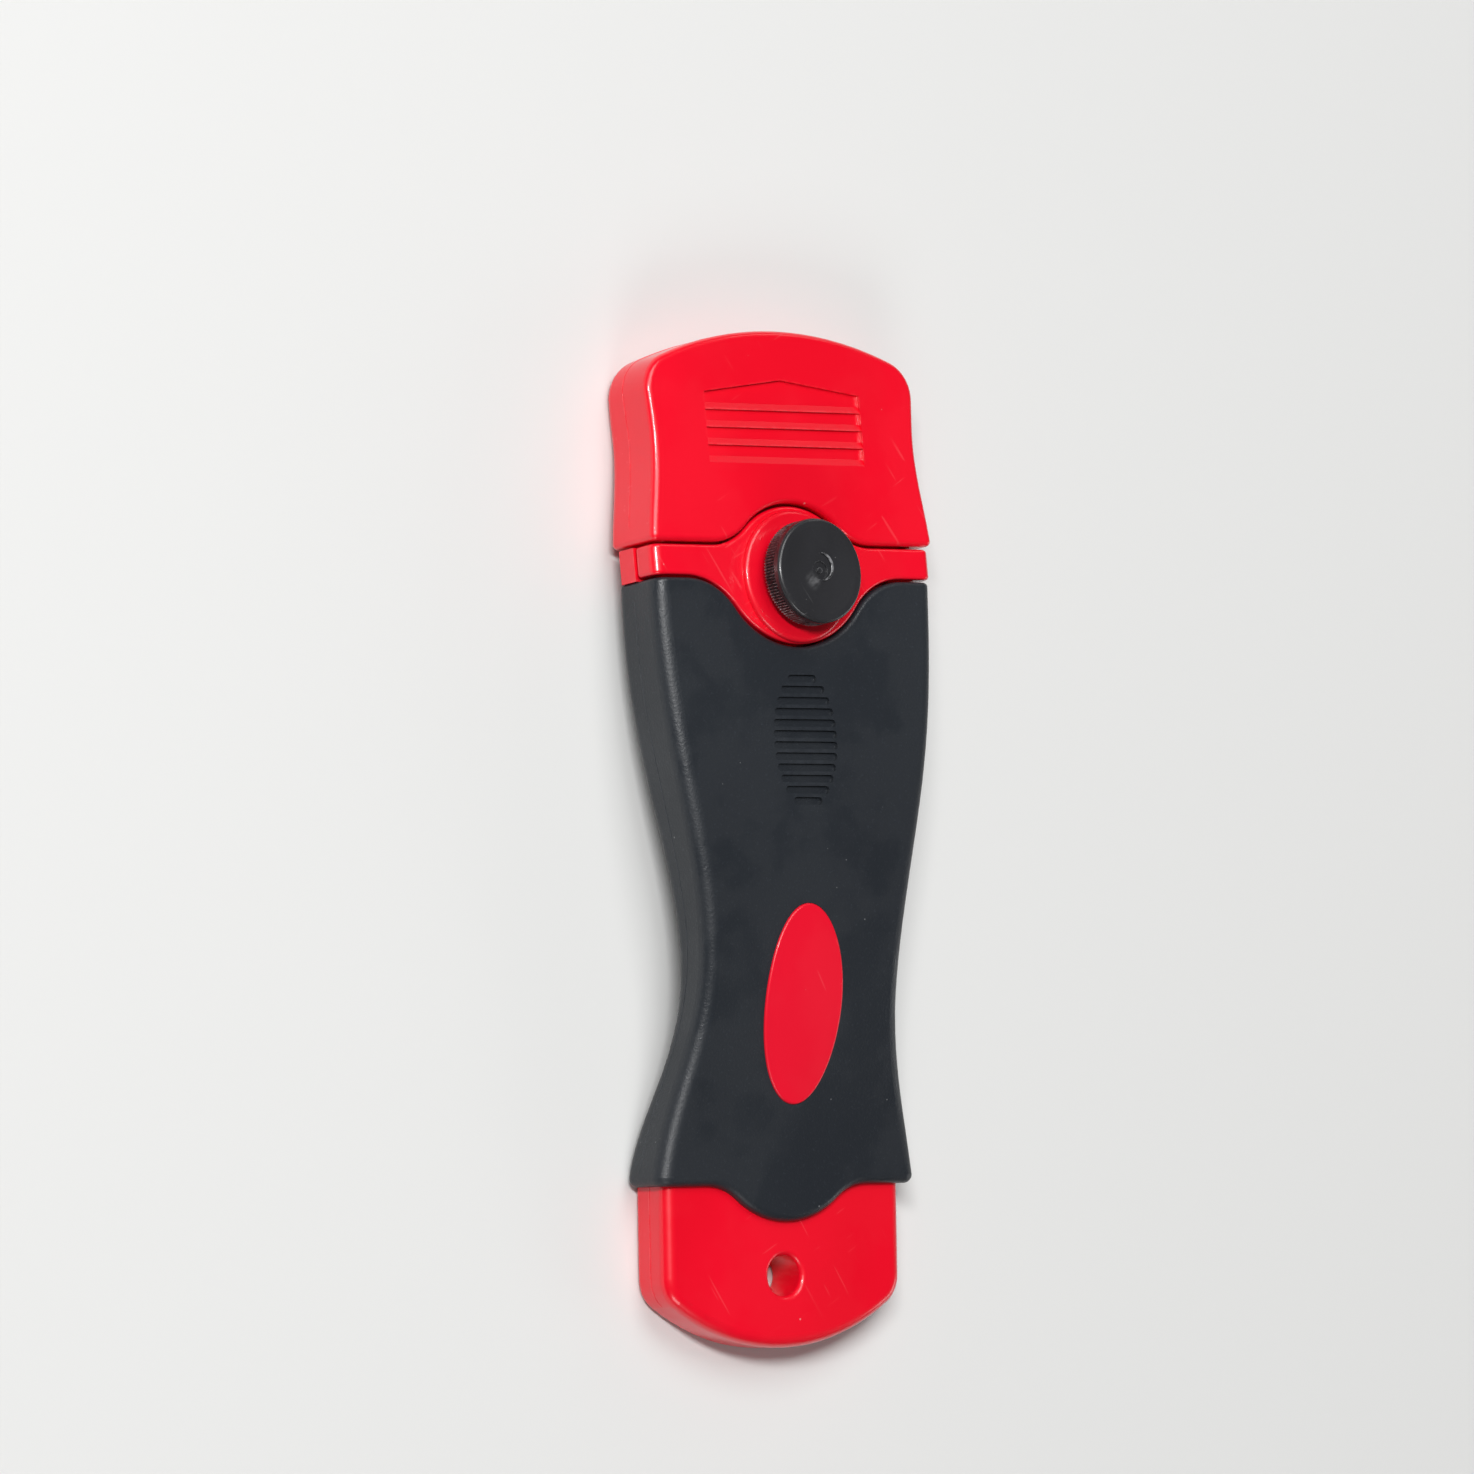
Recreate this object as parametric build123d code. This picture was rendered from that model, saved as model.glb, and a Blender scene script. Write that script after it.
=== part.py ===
from build123d import *
import os
from math import cos, pi, radians, sin, sqrt

# Ceramic hob scraper, lying on its back as it rests on a worktop.
# +Y runs from the tail to the blade, +Z out of the front, X across. All lengths are in millimetres.
# The head is a flat stack about the blade plane, tipped towards the blade, and has a frame of its own:
# x across, u from the knob towards the blade, n out of the front, with n = 0 on the blade plane.
# The handle is arched between the two places where the scraper touches the worktop,
# the heel of the blade guard and the flat back of the tail.

overrun = 6.0           # how far cutting tools pass the faces that they cut
tool_reach = 30.0       # how far they reach in front and behind, past every piece
level_share = 0.1       # a face whose normal rises less than this is an upright wall
end_share = 0.95        # a wall whose normal is more sideways than this is an end

# Blade and its spine, which set the width and the reach of the head
blade_width = 40.0
blade_depth = 18.5
blade_thickness = 0.3
blade_bevel = 1.3
blade_land = 0.06
blade_show = 5.2        # how far the blade stands out of the jaws
spine_u = 6.6           # back of the spine, from the knob axis
spine_depth = 4.5
spine_thickness = 1.2
spine_bite = 4.1        # how far the blade reaches into its spine
spine_round = 0.3
spine_slack = 0.15

# Places along the handle
knob_y = 33.55          # knob axis, from the middle of the overall length
grip_length = 78.65     # from the knob axis to the grip's lower edge at its sides
grip_tongue_drop = 4.75 # how far its middle reaches below that edge
hole_drop = 11.8        # from that edge to the hang hole
hole_to_end = 9.4       # from the hang hole to the far end of the tail

# Head
head_tilt = 6.3         # degrees, the blade plane against the worktop
head_margin = 3.1       # from the blade's corner to the side of the head
jaw_side_inset = 0.1    # both jaws, where the guard covers them, against the blade
jaw_corner = 1.6
boss_radius = 8.7
seat_gap = 0.05         # flat faces that close on each other
edge_gap = 0.35         # open joint round the clamp plate

# Handle core
core_jaw = 3.0          # thickness of the rear jaw
core_jaw_nose = 1.6
core_boss_rise = 1.9
core_boss_round = 0.6
tail_thickness = 6.6
tail_end_radius = 31.0
tail_corner = 4.5
tail_front_round = 1.6
tail_back_round = 1.0
hole_radius = 2.7
hole_round = 0.7

# Blade guard
guard_wall = 1.2
guard_front_gap = 1.6   # room in front of the jaws, for the clamp plate to lift
guard_back_gap = 0.65
guard_side_gap = 0.4    # beside the blade
guard_nose = 7.02       # from the blade's edge to the outer end
guard_heel_length = 12.92  # from where the back begins to curve up to the outer end
guard_heel_radius = 30.0
guard_mouth_u = 4.4
guard_dome_radius = 52.0
guard_shoulder = 5.0
guard_shoulder_inset = 0.75  # outline against the side of the head, here and below
guard_waist_inset = 1.25
guard_skirt_inset = 0.3
guard_hem_overhang = 0.4  # beside the knob axis, where the guard's outline would end
guard_waist_share = 0.542   # places between the mouth and the shoulder
guard_skirt_share = 0.19
guard_bore_corner = 3.3
guard_front_round = 0.9
guard_back_round = 1.4
guard_mouth_round = 0.7
guard_boss_gap = 1.0    # between the mouth's arch and the boss
guard_arch_slack = 2.3  # how much wider than the boss the arch is struck
guard_scallop_wing_radius = 8.0

# Stepped thumb panel on the guard
panel_half_width = 12.9
panel_below_end = 6.62  # from the guard's end to the gable
panel_gable_rise = 1.75
panel_length = 9.35
panel_steps = 4
panel_depth = 0.5
panel_ramp_share = 0.4

# Clamp plate
plate_tongue = 1.9      # top of the tongue under the guard
plate_step = 0.5        # how far its front lies below the guard's
plate_end_round = 1.3
plate_edge_round = 0.5
plate_back_round = 0.9
plate_nose_round = 0.6
plate_wing_u = 0.0      # lower edge at the sides
plate_boss_margin = 0.1 # lower edge round the boss
plate_arch_slack = 3.8  # how much wider than the boss that edge is struck
plate_scallop_wing_radius = 10.0
plate_boss_rise = 0.7
plate_boss_round = 0.6

# Grip
grip_side_inset = 0.1   # against the side of the head
grip_mid_half = 20.1
grip_waist_half = 16.5
grip_flare_half = 21.5
grip_mid_share = 0.3477 # places along the grip, from the knob axis
grip_waist_share = 0.7037
grip_head_step = 0.25   # front of the grip over the clamp plate
grip_crest_rise = 1.6   # highest line of the front over its upper end
grip_foot_step = 1.45   # front of the grip over the tail
grip_back_step = 1.25   # back of the grip behind the rear jaw
grip_arch_z = 5.6       # highest line of the back
grip_heel_z = 0.25
grip_shoulder_shares = (0.236, 0.72)   # along the grip, and of the crest's rise over the upper end
grip_crest_share = 0.42
grip_knee_shares = (0.655, 0.767)      # along the grip, and of the crest's rise over the lower end
grip_foot_shares = (0.859, 0.184)
grip_palm_shares = (0.223, 0.26)       # along the grip, and of the arch's rise over the upper end
grip_arch_share = 0.605
grip_calf_shares = (0.808, 0.626)      # along the grip, and of the arch's rise over the lower end
grip_flare_slope = 0.12 # how fast the sides spread at the lower end
grip_head_slope = 0.03  # how fast the front and the back rise at the head
grip_front_round = 2.0
grip_back_round = 1.5
grip_top_round = 0.5
grip_foot_round = 1.1
grip_skin = 1.3         # soft skin over the core, front and back
grip_side_skin = 1.9
grip_tongue_tip_radius = 13.0
grip_tongue_wing_radius = 8.0

# Thumb grooves in the grip
groove_count = 12
groove_pitch = 1.45
groove_width = 1.0
groove_depth = 0.45
groove_group_share = 0.265  # middle of the group, along the grip
groove_group_half_width = 5.3
groove_end_margin = 0.2

# Oval inlay
oval_share = 0.7012     # middle of the oval, along the grip
oval_half_width = 6.4
oval_half_height = 13.1
oval_proud = 0.25
oval_depth = 3.0        # how deep its window is cut into the core, below the front
oval_gap = 0.05
oval_round = 0.3

# Knob, screw, washer and nut
knob_radius = 6.9
knob_height = 3.2
knob_hub_wall = 0.66    # round the corners of the screw's head
knob_hub_height = 0.7
knurl_height = 2.1
knurl_depth = 0.25
knurl_count = 104
knob_rim_round = 0.5
knob_rim_width = 1.1
knob_dish = 0.2
gate_mark_radius = 1.2
gate_mark_depth = 0.2
gate_nub_radius = 0.4
screw_radius = 2.0
screw_head_flats = 7.0
screw_head_height = 2.2
screw_head_cover = 0.75
screw_tip_short = 0.3   # how far the tip stops inside the nut's end
screw_tip_taper = 0.3   # least length of the taper at the tip
thread_pitch = 0.7
thread_depth = 0.35
running_gap = 0.05
plate_hole_gap = 0.3    # round the screw
washer_margin = 0.3     # round the knob's hub
washer_thickness = 0.8
washer_chamfer = 0.15
nut_flats = 7.0
nut_height = 3.2
nut_chamfer = 0.4
nut_gap = 0.05

# Across the head
head_half_width = blade_width / 2 + head_margin
jaw_half_width = blade_width / 2 - jaw_side_inset
guard_bore_half = blade_width / 2 + guard_side_gap
guard_hem_half = head_half_width + guard_hem_overhang
guard_shoulder_half = head_half_width - guard_shoulder_inset
grip_top_half = head_half_width - grip_side_inset
tail_half_width = grip_flare_half - grip_side_skin

# Along the head, from the knob axis
blade_back_u = spine_u + spine_depth - spine_bite
blade_edge_u = blade_back_u + blade_depth
jaw_reach = blade_edge_u - blade_show
guard_end_u = blade_edge_u + guard_nose
guard_flat_reach = guard_end_u - guard_heel_length
guard_scallop_tip = boss_radius + guard_boss_gap
guard_gap_u = guard_mouth_u - edge_gap
plate_scallop_tip = -boss_radius - plate_boss_margin
panel_apex_u = guard_end_u - panel_below_end
panel_eaves_u = panel_apex_u - panel_gable_rise

# Out of the head, from the blade plane
guard_back = core_jaw + guard_back_gap + guard_wall
guard_front = plate_tongue + guard_front_gap + guard_wall
plate_front = guard_front - plate_step
core_boss_back = core_jaw + core_boss_rise
boss_top = plate_front + plate_boss_rise
washer_top = boss_top + washer_thickness
knob_base = washer_top + knob_hub_height
knob_face = knob_base + knob_height
knob_hub_radius = screw_head_flats / sqrt(3) + knob_hub_wall
washer_radius = knob_hub_radius + washer_margin
plate_hole_radius = screw_radius + plate_hole_gap

# The guard's heel is an arc, and its lowest line touches the worktop.
tilt = radians(head_tilt)
blade_plane_z = guard_flat_reach * sin(tilt) + guard_back * cos(tilt) + guard_heel_radius * (1 - cos(tilt))
head = Location((0, knob_y, blade_plane_z), (-head_tilt, 0, 0))

# Along and over the handle
grip_end_y = knob_y - grip_length
grip_tongue_tip = grip_end_y - grip_tongue_drop
hole_y = grip_end_y - hole_drop
tail_end_y = hole_y - hole_to_end
grip_top_z = blade_plane_z + plate_front + grip_head_step
grip_crest_z = grip_top_z + grip_crest_rise
grip_flare_z = tail_thickness + grip_foot_step
grip_top_back_z = blade_plane_z - core_jaw - grip_back_step
groove_group_half_height = groove_count * groove_pitch / 2 + groove_end_margin


def mirrored_face(right_half):
    """Face bounded by the right half of an outline and its mirror image."""
    half = Curve() + right_half
    return make_face(half + mirror(half, about=Plane.YZ))


def scallop(tip, wing, tip_radius, wing_radius, end, drop=0):
    """Right half of a scalloped edge: an arc round the middle, a reverse arc and a straight wing.

    A drop moves the whole line down to a parallel one.
    """
    side = 1 if tip > wing else -1
    tip_radius = tip_radius - side * drop
    wing_radius = wing_radius + side * drop
    tip_centre = Vector(0, tip - drop - side * tip_radius)
    rise = wing - drop + side * wing_radius - tip_centre.Y
    reach = sqrt((tip_radius + wing_radius) ** 2 - rise**2)
    wing_centre = tip_centre + Vector(reach, rise)
    join = tip_centre + (wing_centre - tip_centre) * (tip_radius / (tip_radius + wing_radius))
    tip_arc = TangentArc((0, tip - drop), join, tangent=(1, 0))
    wing_arc = TangentArc((reach, wing - drop), join, tangent=(-1, 0))
    return [tip_arc, wing_arc, Line((reach, wing - drop), (end, wing - drop))]


def guard_mouth(end, drop=0):
    """Right half of the guard's lower edge, which arches over the boss."""
    radius = boss_radius + guard_arch_slack
    return scallop(guard_scallop_tip, guard_mouth_u, radius, guard_scallop_wing_radius, end, drop)


def plate_foot(end, drop=0):
    """Right half of the clamp plate's lower edge, which dips round the boss."""
    radius = boss_radius + plate_arch_slack
    return scallop(plate_scallop_tip, plate_wing_u, radius, plate_scallop_wing_radius, end, drop)


def grip_foot(end):
    """Right half of the grip's lower edge, with its central tongue."""
    return scallop(grip_tongue_tip, grip_end_y, grip_tongue_tip_radius, grip_tongue_wing_radius, end)


def outer_corners(face, half_width):
    """Corners of an outline at its two sides."""
    return face.vertices().filter_by(lambda corner: abs(abs(corner.X) - half_width) < seat_gap)


def slab(face, low, high):
    """Face raised into a slab between two heights."""
    return extrude(Pos(0, 0, low) * face, high - low)


def strip_face(foot_drop):
    """Bow-tie outline of the head between the guard and the grip, down to the clamp plate's foot or below."""
    top = guard_mouth(head_half_width, edge_gap)
    foot = plate_foot(head_half_width, foot_drop)
    end = Line((head_half_width, guard_gap_u), (head_half_width, plate_wing_u - foot_drop))
    return mirrored_face([*top, end, *foot])


def tongue_face():
    """Outline of the jaws under the guard, from the knob axis to their front edge."""
    face = Pos(0, jaw_reach / 2) * Rectangle(2 * jaw_half_width, jaw_reach)
    return fillet(face.vertices().group_by(Axis.Y)[-1], jaw_corner)


def head_region_below(drop):
    """Everything of the head frame below the clamp plate's foot, as a tool."""
    far = tail_end_y - knob_y
    side = head_half_width + overrun
    edge = plate_foot(side, drop)
    face = mirrored_face([*edge, Line((side, plate_wing_u - drop), (side, far)), Line((side, far), (0, far))])
    return head * slab(face, -tool_reach, tool_reach)


def region_above_foot():
    """Everything above the grip's lower edge, as a tool."""
    side = grip_flare_half + overrun
    top = knob_y + overrun
    edge = grip_foot(side)
    face = mirrored_face([*edge, Line((side, grip_end_y), (side, top)), Line((side, top), (0, top))])
    return slab(face, -overrun, tool_reach)


def along_grip(share):
    """Place along the handle, as a share of the grip's length from the knob axis."""
    return knob_y - share * grip_length


def profile_point(shares, low, high, shift):
    """Point of the grip's side profile, from its shares along the grip and between two heights."""
    return (along_grip(shares[0]), low + shares[1] * (high - low) + shift)


def handle_blank(side_inset, skin):
    """Arched and waisted handle body, inset from the grip's outside by a side wall and a skin."""
    top = knob_y + overrun
    foot = grip_tongue_tip - overrun
    side = Spline(
        (grip_top_half - side_inset, knob_y),
        (grip_mid_half - side_inset, along_grip(grip_mid_share)),
        (grip_waist_half - side_inset, along_grip(grip_waist_share)),
        (grip_flare_half - side_inset, grip_end_y),
        tangents=((0, -1), (grip_flare_slope, -1)),
    )
    flare_end = side @ 1 + (side % 1) * ((foot - (side @ 1).Y) / (side % 1).Y)
    plan = mirrored_face(
        [
            Line((0, top), (grip_top_half - side_inset, top)),
            Line((grip_top_half - side_inset, top), side @ 0),
            side,
            Line(side @ 1, flare_end),
            Line(flare_end, (0, foot)),
        ]
    )
    crown = Spline(
        (knob_y, grip_top_z - skin),
        profile_point(grip_shoulder_shares, grip_top_z, grip_crest_z, -skin),
        (along_grip(grip_crest_share), grip_crest_z - skin),
        profile_point(grip_knee_shares, grip_flare_z, grip_crest_z, -skin),
        profile_point(grip_foot_shares, grip_flare_z, grip_crest_z, -skin),
        (grip_end_y, grip_flare_z - skin),
        tangents=((-1, grip_head_slope), (-1, 0)),
    )
    back = Spline(
        (knob_y, grip_top_back_z + skin),
        profile_point(grip_palm_shares, grip_top_back_z, grip_arch_z, skin),
        (along_grip(grip_arch_share), grip_arch_z + skin),
        profile_point(grip_calf_shares, grip_heel_z, grip_arch_z, skin),
        (grip_end_y, grip_heel_z + skin),
        tangents=((-1, grip_head_slope), (-1, 0)),
    )
    outline = [
        crown,
        Line(crown @ 1, (foot, grip_flare_z - skin)),
        Line((foot, grip_flare_z - skin), (foot, grip_heel_z + skin)),
        Line((foot, grip_heel_z + skin), back @ 1),
        back,
        Line(back @ 0, (top, grip_top_back_z + skin)),
        Line((top, grip_top_back_z + skin), (top, grip_top_z - skin)),
        Line((top, grip_top_z - skin), crown @ 0),
    ]
    profile = make_face(Curve() + outline)
    return extrude(Plane.YZ * profile, grip_top_half + overrun, both=True) & slab(plan, -overrun, tool_reach)


def grip_blank():
    """Outside of the grip, with its long edges rounded."""
    blank = handle_blank(0, 0)
    long = blank.edges().filter_by(lambda edge: abs((edge @ 0).Y - (edge @ 1).Y) > overrun + seat_gap)
    middle = (grip_crest_z + grip_arch_z) / 2
    blank = fillet(long.filter_by(lambda edge: (edge @ 0.5).Z > middle), grip_front_round)
    long = blank.edges().filter_by(lambda edge: abs((edge @ 0).Y - (edge @ 1).Y) > overrun + seat_gap)
    return fillet(long.filter_by(lambda edge: (edge @ 0.5).Z < grip_arch_z + seat_gap), grip_back_round)


def round_ends(blank):
    """Grip with the edges of its two ends softened."""
    foot = blank.edges().filter_by(lambda edge: edge.bounding_box().max.Y < grip_end_y + seat_gap)
    blank = fillet(foot.filter_by(lambda edge: edge.bounding_box().min.Z > tail_thickness), grip_foot_round)
    top = blank.edges().filter_by(lambda edge: is_head_edge(edge))
    return fillet(top, grip_top_round)


def is_head_edge(edge):
    """Whether an edge lies on the front rim of the grip's upper end, along the clamp plate's foot."""
    low = plate_scallop_tip - edge_gap - seat_gap
    spots = [head.inverse() * Pos(edge @ share) for share in (0, 0.5, 1)]
    return min(spot.position.Y for spot in spots) > low and min(spot.position.Z for spot in spots) > 0


def hexagon(flats):
    """Hexagon given by the distance across its flats."""
    return RegularPolygon(flats / 2, 6, major_radius=False)


def box_between(low, high):
    """Box given by its lowest and highest corners."""
    size = Vector(high) - Vector(low)
    return Pos((Vector(low) + Vector(high)) / 2) * Box(size.X, size.Y, size.Z)


def tube_cut(radius, low, high):
    """Round tool along the screw's axis between two heights."""
    return slab(Circle(radius), low, high)


def spine_pocket():
    """Room for the blade's spine in both jaws."""
    back = spine_u - spine_slack
    front = spine_u + spine_depth + spine_slack
    half = blade_width / 2 + spine_slack
    low = blade_thickness / 2 - spine_thickness / 2 - seat_gap
    return box_between((-half, back, low), (half, front, low + spine_thickness + 2 * seat_gap))


def make_blade():
    """Flat blade with a two-sided bevel along its front edge."""
    half = blade_width / 2
    middle = blade_thickness / 2
    heel = blade_edge_u - blade_bevel
    points = [
        (blade_back_u, 0),
        (heel, 0),
        (blade_edge_u, middle - blade_land / 2),
        (blade_edge_u, middle + blade_land / 2),
        (heel, blade_thickness),
        (blade_back_u, blade_thickness),
    ]
    section = make_face(Polyline(*points, close=True))
    return extrude(Plane.YZ * section, half, both=True)


def make_spine(blade):
    """Folded strip crimped over the blade's back edge."""
    half = blade_width / 2
    low = blade_thickness / 2 - spine_thickness / 2
    strip = box_between((-half, spine_u, low), (half, spine_u + spine_depth, low + spine_thickness))
    strip = fillet(strip.edges().filter_by(Axis.X).group_by(Axis.Y)[0], spine_round)
    return strip - blade


def make_guard():
    """Push-on blade guard: a flat shell with a curved heel, a scalloped mouth and a stepped thumb panel."""
    dome_end = guard_end_u - guard_dome_radius + sqrt(guard_dome_radius**2 - guard_shoulder_half**2)
    length = dome_end - guard_mouth_u
    side = Spline(
        (guard_shoulder_half, dome_end),
        (head_half_width - guard_waist_inset, guard_mouth_u + guard_waist_share * length),
        (head_half_width - guard_skirt_inset, guard_mouth_u + guard_skirt_share * length),
        (guard_hem_half, 0),
        tangents=((0, -1), (0, -1)),
    )
    dome = TangentArc((0, guard_end_u), side @ 0, tangent=(1, 0))
    hem = [Line(side @ 1, (guard_hem_half, -overrun)), Line((guard_hem_half, -overrun), (0, -overrun))]
    plan = mirrored_face([dome, side, *hem])
    plan = fillet(outer_corners(plan, guard_shoulder_half), guard_shoulder)
    shell = slab(plan, -tool_reach, tool_reach) & guard_profile(0)
    rim = shell.edges().filter_by(lambda edge: (edge @ 0.5).Y > seat_gap - overrun)
    shell = fillet(rim.filter_by(lambda edge: (edge @ 0.5).Z > guard_front - seat_gap), guard_front_round)
    rim = shell.edges().filter_by(lambda edge: (edge @ 0.5).Y > seat_gap - overrun)
    shell = fillet(rim.filter_by(lambda edge: is_back_rim(edge)), guard_back_round)
    side = guard_hem_half + overrun
    floor_line = [Line((side, guard_mouth_u), (side, -overrun)), Line((side, -overrun), (0, -overrun))]
    shell -= slab(mirrored_face([*guard_mouth(side), *floor_line]), -tool_reach, tool_reach)
    shell = fillet(wall_rims(shell), guard_mouth_round)
    bore_radius = guard_dome_radius - guard_wall
    bore_end = guard_end_u - guard_dome_radius + sqrt(bore_radius**2 - guard_bore_half**2)
    bore_dome = TangentArc((0, guard_end_u - guard_wall), (guard_bore_half, bore_end), tangent=(1, 0))
    bore_side = Line((guard_bore_half, bore_end), (guard_bore_half, -overrun))
    bore = mirrored_face([bore_dome, bore_side, Line((guard_bore_half, -overrun), (0, -overrun))])
    bore = fillet(bore.vertices().group_by(Axis.Y)[-1], guard_bore_corner)
    shell -= slab(bore, -tool_reach, tool_reach) & guard_profile(guard_wall)
    return shell - thumb_panel()


def wall_rims(body):
    """Outlines of the upright walls that face along the handle, from the foot to the guard's mouth."""
    walls = body.faces().filter_by(lambda face: abs(face.normal_at().Z) < level_share)
    walls = walls.filter_by(lambda face: abs(face.normal_at().X) < end_share)
    walls = walls.filter_by(lambda face: face.center().Y < guard_scallop_tip)
    around = ShapeList([edge for wall in walls for edge in wall.edges()])
    upright = around.filter_by(Axis.Z)
    rims = [edge for edge in around if edge not in upright]
    return ShapeList(rims + [edge for edge in upright if not is_shared(edge, upright)])


def is_shared(edge, others):
    """Whether an edge is there twice, as the seam between two walls is."""
    return sum((edge @ 0.5 - other @ 0.5).length < seat_gap for other in others) > 1


def guard_profile(inset):
    """Side profile of the guard, straight in front and curving up at the heel, as a wide solid."""
    back = inset - guard_back
    front = guard_front - inset
    heel_radius = guard_heel_radius - inset
    end = guard_end_u + overrun
    rise = heel_radius - sqrt(heel_radius**2 - (end - guard_flat_reach) ** 2)
    heel = TangentArc((guard_flat_reach, back), (end, back + rise), tangent=(1, 0))
    outline = [
        Line((-overrun, back), (guard_flat_reach, back)),
        heel,
        Line(heel @ 1, (end, front)),
        Line((end, front), (-overrun, front)),
        Line((-overrun, front), (-overrun, back)),
    ]
    return extrude(Plane.YZ * make_face(Curve() + outline), guard_hem_half + overrun, both=True)


def is_back_rim(edge):
    """Whether an edge lies on the guard's back, flat or curved."""
    spot = edge @ 0.5
    past = max(spot.Y - guard_flat_reach, 0)
    level = guard_heel_radius - sqrt(guard_heel_radius**2 - past**2) - guard_back
    return abs(spot.Z - level) < seat_gap


def thumb_panel():
    """Tool for the stepped panel: a gabled recess followed by ramps that each end in a step."""
    pitch = panel_length / panel_steps
    floor = guard_front - panel_depth
    top = guard_front + overrun
    left = (-panel_half_width, panel_eaves_u)
    right = (panel_half_width, panel_eaves_u)
    tool = slab(make_face(Polyline(left, (0, panel_apex_u), right, close=True)), floor, top)
    for step in range(panel_steps):
        start = panel_eaves_u - step * pitch
        turn = start - pitch * (1 - panel_ramp_share)
        end = start - pitch
        points = [(start, floor), (turn, floor), (end, guard_front), (end, top), (start, top)]
        section = make_face(Polyline(*points, close=True))
        tool += extrude(Plane.YZ * section, panel_half_width, both=True)
    return tool


def make_plate():
    """Clamp plate: a bow-tie strip with a round boss, and a thin tongue under the guard."""
    plate = slab(strip_face(0), seat_gap, plate_front)
    plate = fillet(end_edges(plate).group_by(Axis.Z)[-1], plate_end_round)
    plate = fillet(end_edges(plate).group_by(Axis.Z)[0], plate_back_round)
    plate = fillet(wall_rims(plate), plate_edge_round)
    boss = tube_cut(boss_radius, plate_tongue, boss_top)
    plate += fillet(boss.edges().group_by(Axis.Z)[-1], plate_boss_round)
    tongue = slab(tongue_face(), blade_thickness + seat_gap, plate_tongue)
    tongue = fillet(tongue.edges().group_by(Axis.Z)[-1].group_by(Axis.Y)[-1], plate_nose_round)
    plate += tongue
    half = blade_width / 2 + spine_slack
    low = (-half, blade_back_u - spine_slack, -overrun)
    plate -= box_between(low, (half, blade_edge_u + overrun, blade_thickness + seat_gap))
    plate -= spine_pocket()
    return plate - tube_cut(plate_hole_radius, -overrun, boss_top + overrun)


def end_edges(plate):
    """Edges along the two ends of the clamp plate."""
    along = plate.edges().filter_by(Axis.Y)
    return along.filter_by(lambda edge: abs((edge @ 0).X) > head_half_width - seat_gap)


def make_core(shank):
    """Core: rear jaw with its nut boss, the shank through the grip and the tail with its hang hole."""
    jaw = slab(strip_face(edge_gap), -core_jaw, 0)
    tongue = slab(tongue_face(), -core_jaw, 0)
    nose = tongue.edges().filter_by(Axis.X).group_by(Axis.Y)[-1].group_by(Axis.Z)[0]
    jaw += chamfer(nose, core_jaw_nose)
    boss = tube_cut(boss_radius, -core_boss_back, 0)
    jaw += fillet(boss.edges().group_by(Axis.Z)[0], core_boss_round)
    jaw -= spine_pocket()
    jaw -= tube_cut(plate_hole_radius, -tool_reach, overrun)
    pocket = hexagon(nut_flats + 2 * nut_gap)
    jaw -= slab(pocket, -core_boss_back - overrun, nut_height - core_boss_back)
    core = head * jaw + shank + make_tail()
    return core - head * tube_cut(plate_hole_radius, -core_jaw, overrun)


def make_tail():
    """Flat tail with a rounded end and the hang hole."""
    side_y = tail_end_y + tail_end_radius - sqrt(tail_end_radius**2 - tail_half_width**2)
    end_arc = TangentArc((0, tail_end_y), (tail_half_width, side_y), tangent=(1, 0))
    side = Line((tail_half_width, grip_end_y), (tail_half_width, side_y))
    plan = mirrored_face([*grip_foot(tail_half_width), side, end_arc])
    plan = fillet(outer_corners(plan, tail_half_width).group_by(Axis.Y)[0], tail_corner)
    tail = slab(plan, 0, tail_thickness)
    tail = fillet(tail_rim(tail).group_by(Axis.Z)[-1], tail_front_round)
    tail = fillet(tail_rim(tail).group_by(Axis.Z)[0], tail_back_round)
    tail -= Pos(0, hole_y) * tube_cut(hole_radius, -overrun, tail_thickness + overrun)
    arcs = tail.edges().filter_by(GeomType.CIRCLE)
    return fillet(arcs.filter_by(lambda edge: abs(edge.radius - hole_radius) < seat_gap), hole_round)


def tail_rim(tail):
    """Level edges of the tail along its sides and its rounded end."""
    level = tail.edges().filter_by(lambda edge: abs((edge @ 0).Z - (edge @ 1).Z) < seat_gap)
    side = tail_half_width - seat_gap
    return level.filter_by(lambda edge: (edge @ 0.5).Y < hole_y or abs((edge @ 0.5).X) > side)


def make_sleeve(blank, core):
    """Soft grip round the core, with its thumb grooves and the window for the inlay."""
    sleeve = blank - core
    sleeve -= thumb_grooves()
    return sleeve - oval_prism(0)


def thumb_grooves():
    """Tool for the oval group of cross grooves, each as deep as the last below the arched front."""
    tool = Part()
    for index in range(groove_count):
        offset = ((groove_count - 1) / 2 - index) * groove_pitch
        half = groove_group_half_width * sqrt(1 - (offset / groove_group_half_height) ** 2)
        slot = Pos(0, along_grip(groove_group_share) + offset) * SlotOverall(2 * half, groove_width)
        tool += slab(slot, grip_arch_z, tool_reach)
    return tool - Pos(0, 0, -groove_depth) * handle_blank(0, 0)


def oval_prism(gap):
    """Upright oval through the front of the grip and into the core, as deep all along the arched front."""
    oval = Pos(0, along_grip(oval_share)) * Ellipse(oval_half_width - gap, oval_half_height - gap)
    return slab(oval, grip_arch_z, tool_reach) - Pos(0, 0, -oval_depth) * handle_blank(0, 0)


def make_inlay(core):
    """Oval inlay that stands a little proud of the grip."""
    inlay = oval_prism(oval_gap) & handle_blank(0, -oval_proud)
    return fillet(inlay.faces().sort_by(Axis.Z)[-1].edges(), oval_round) - core


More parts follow.
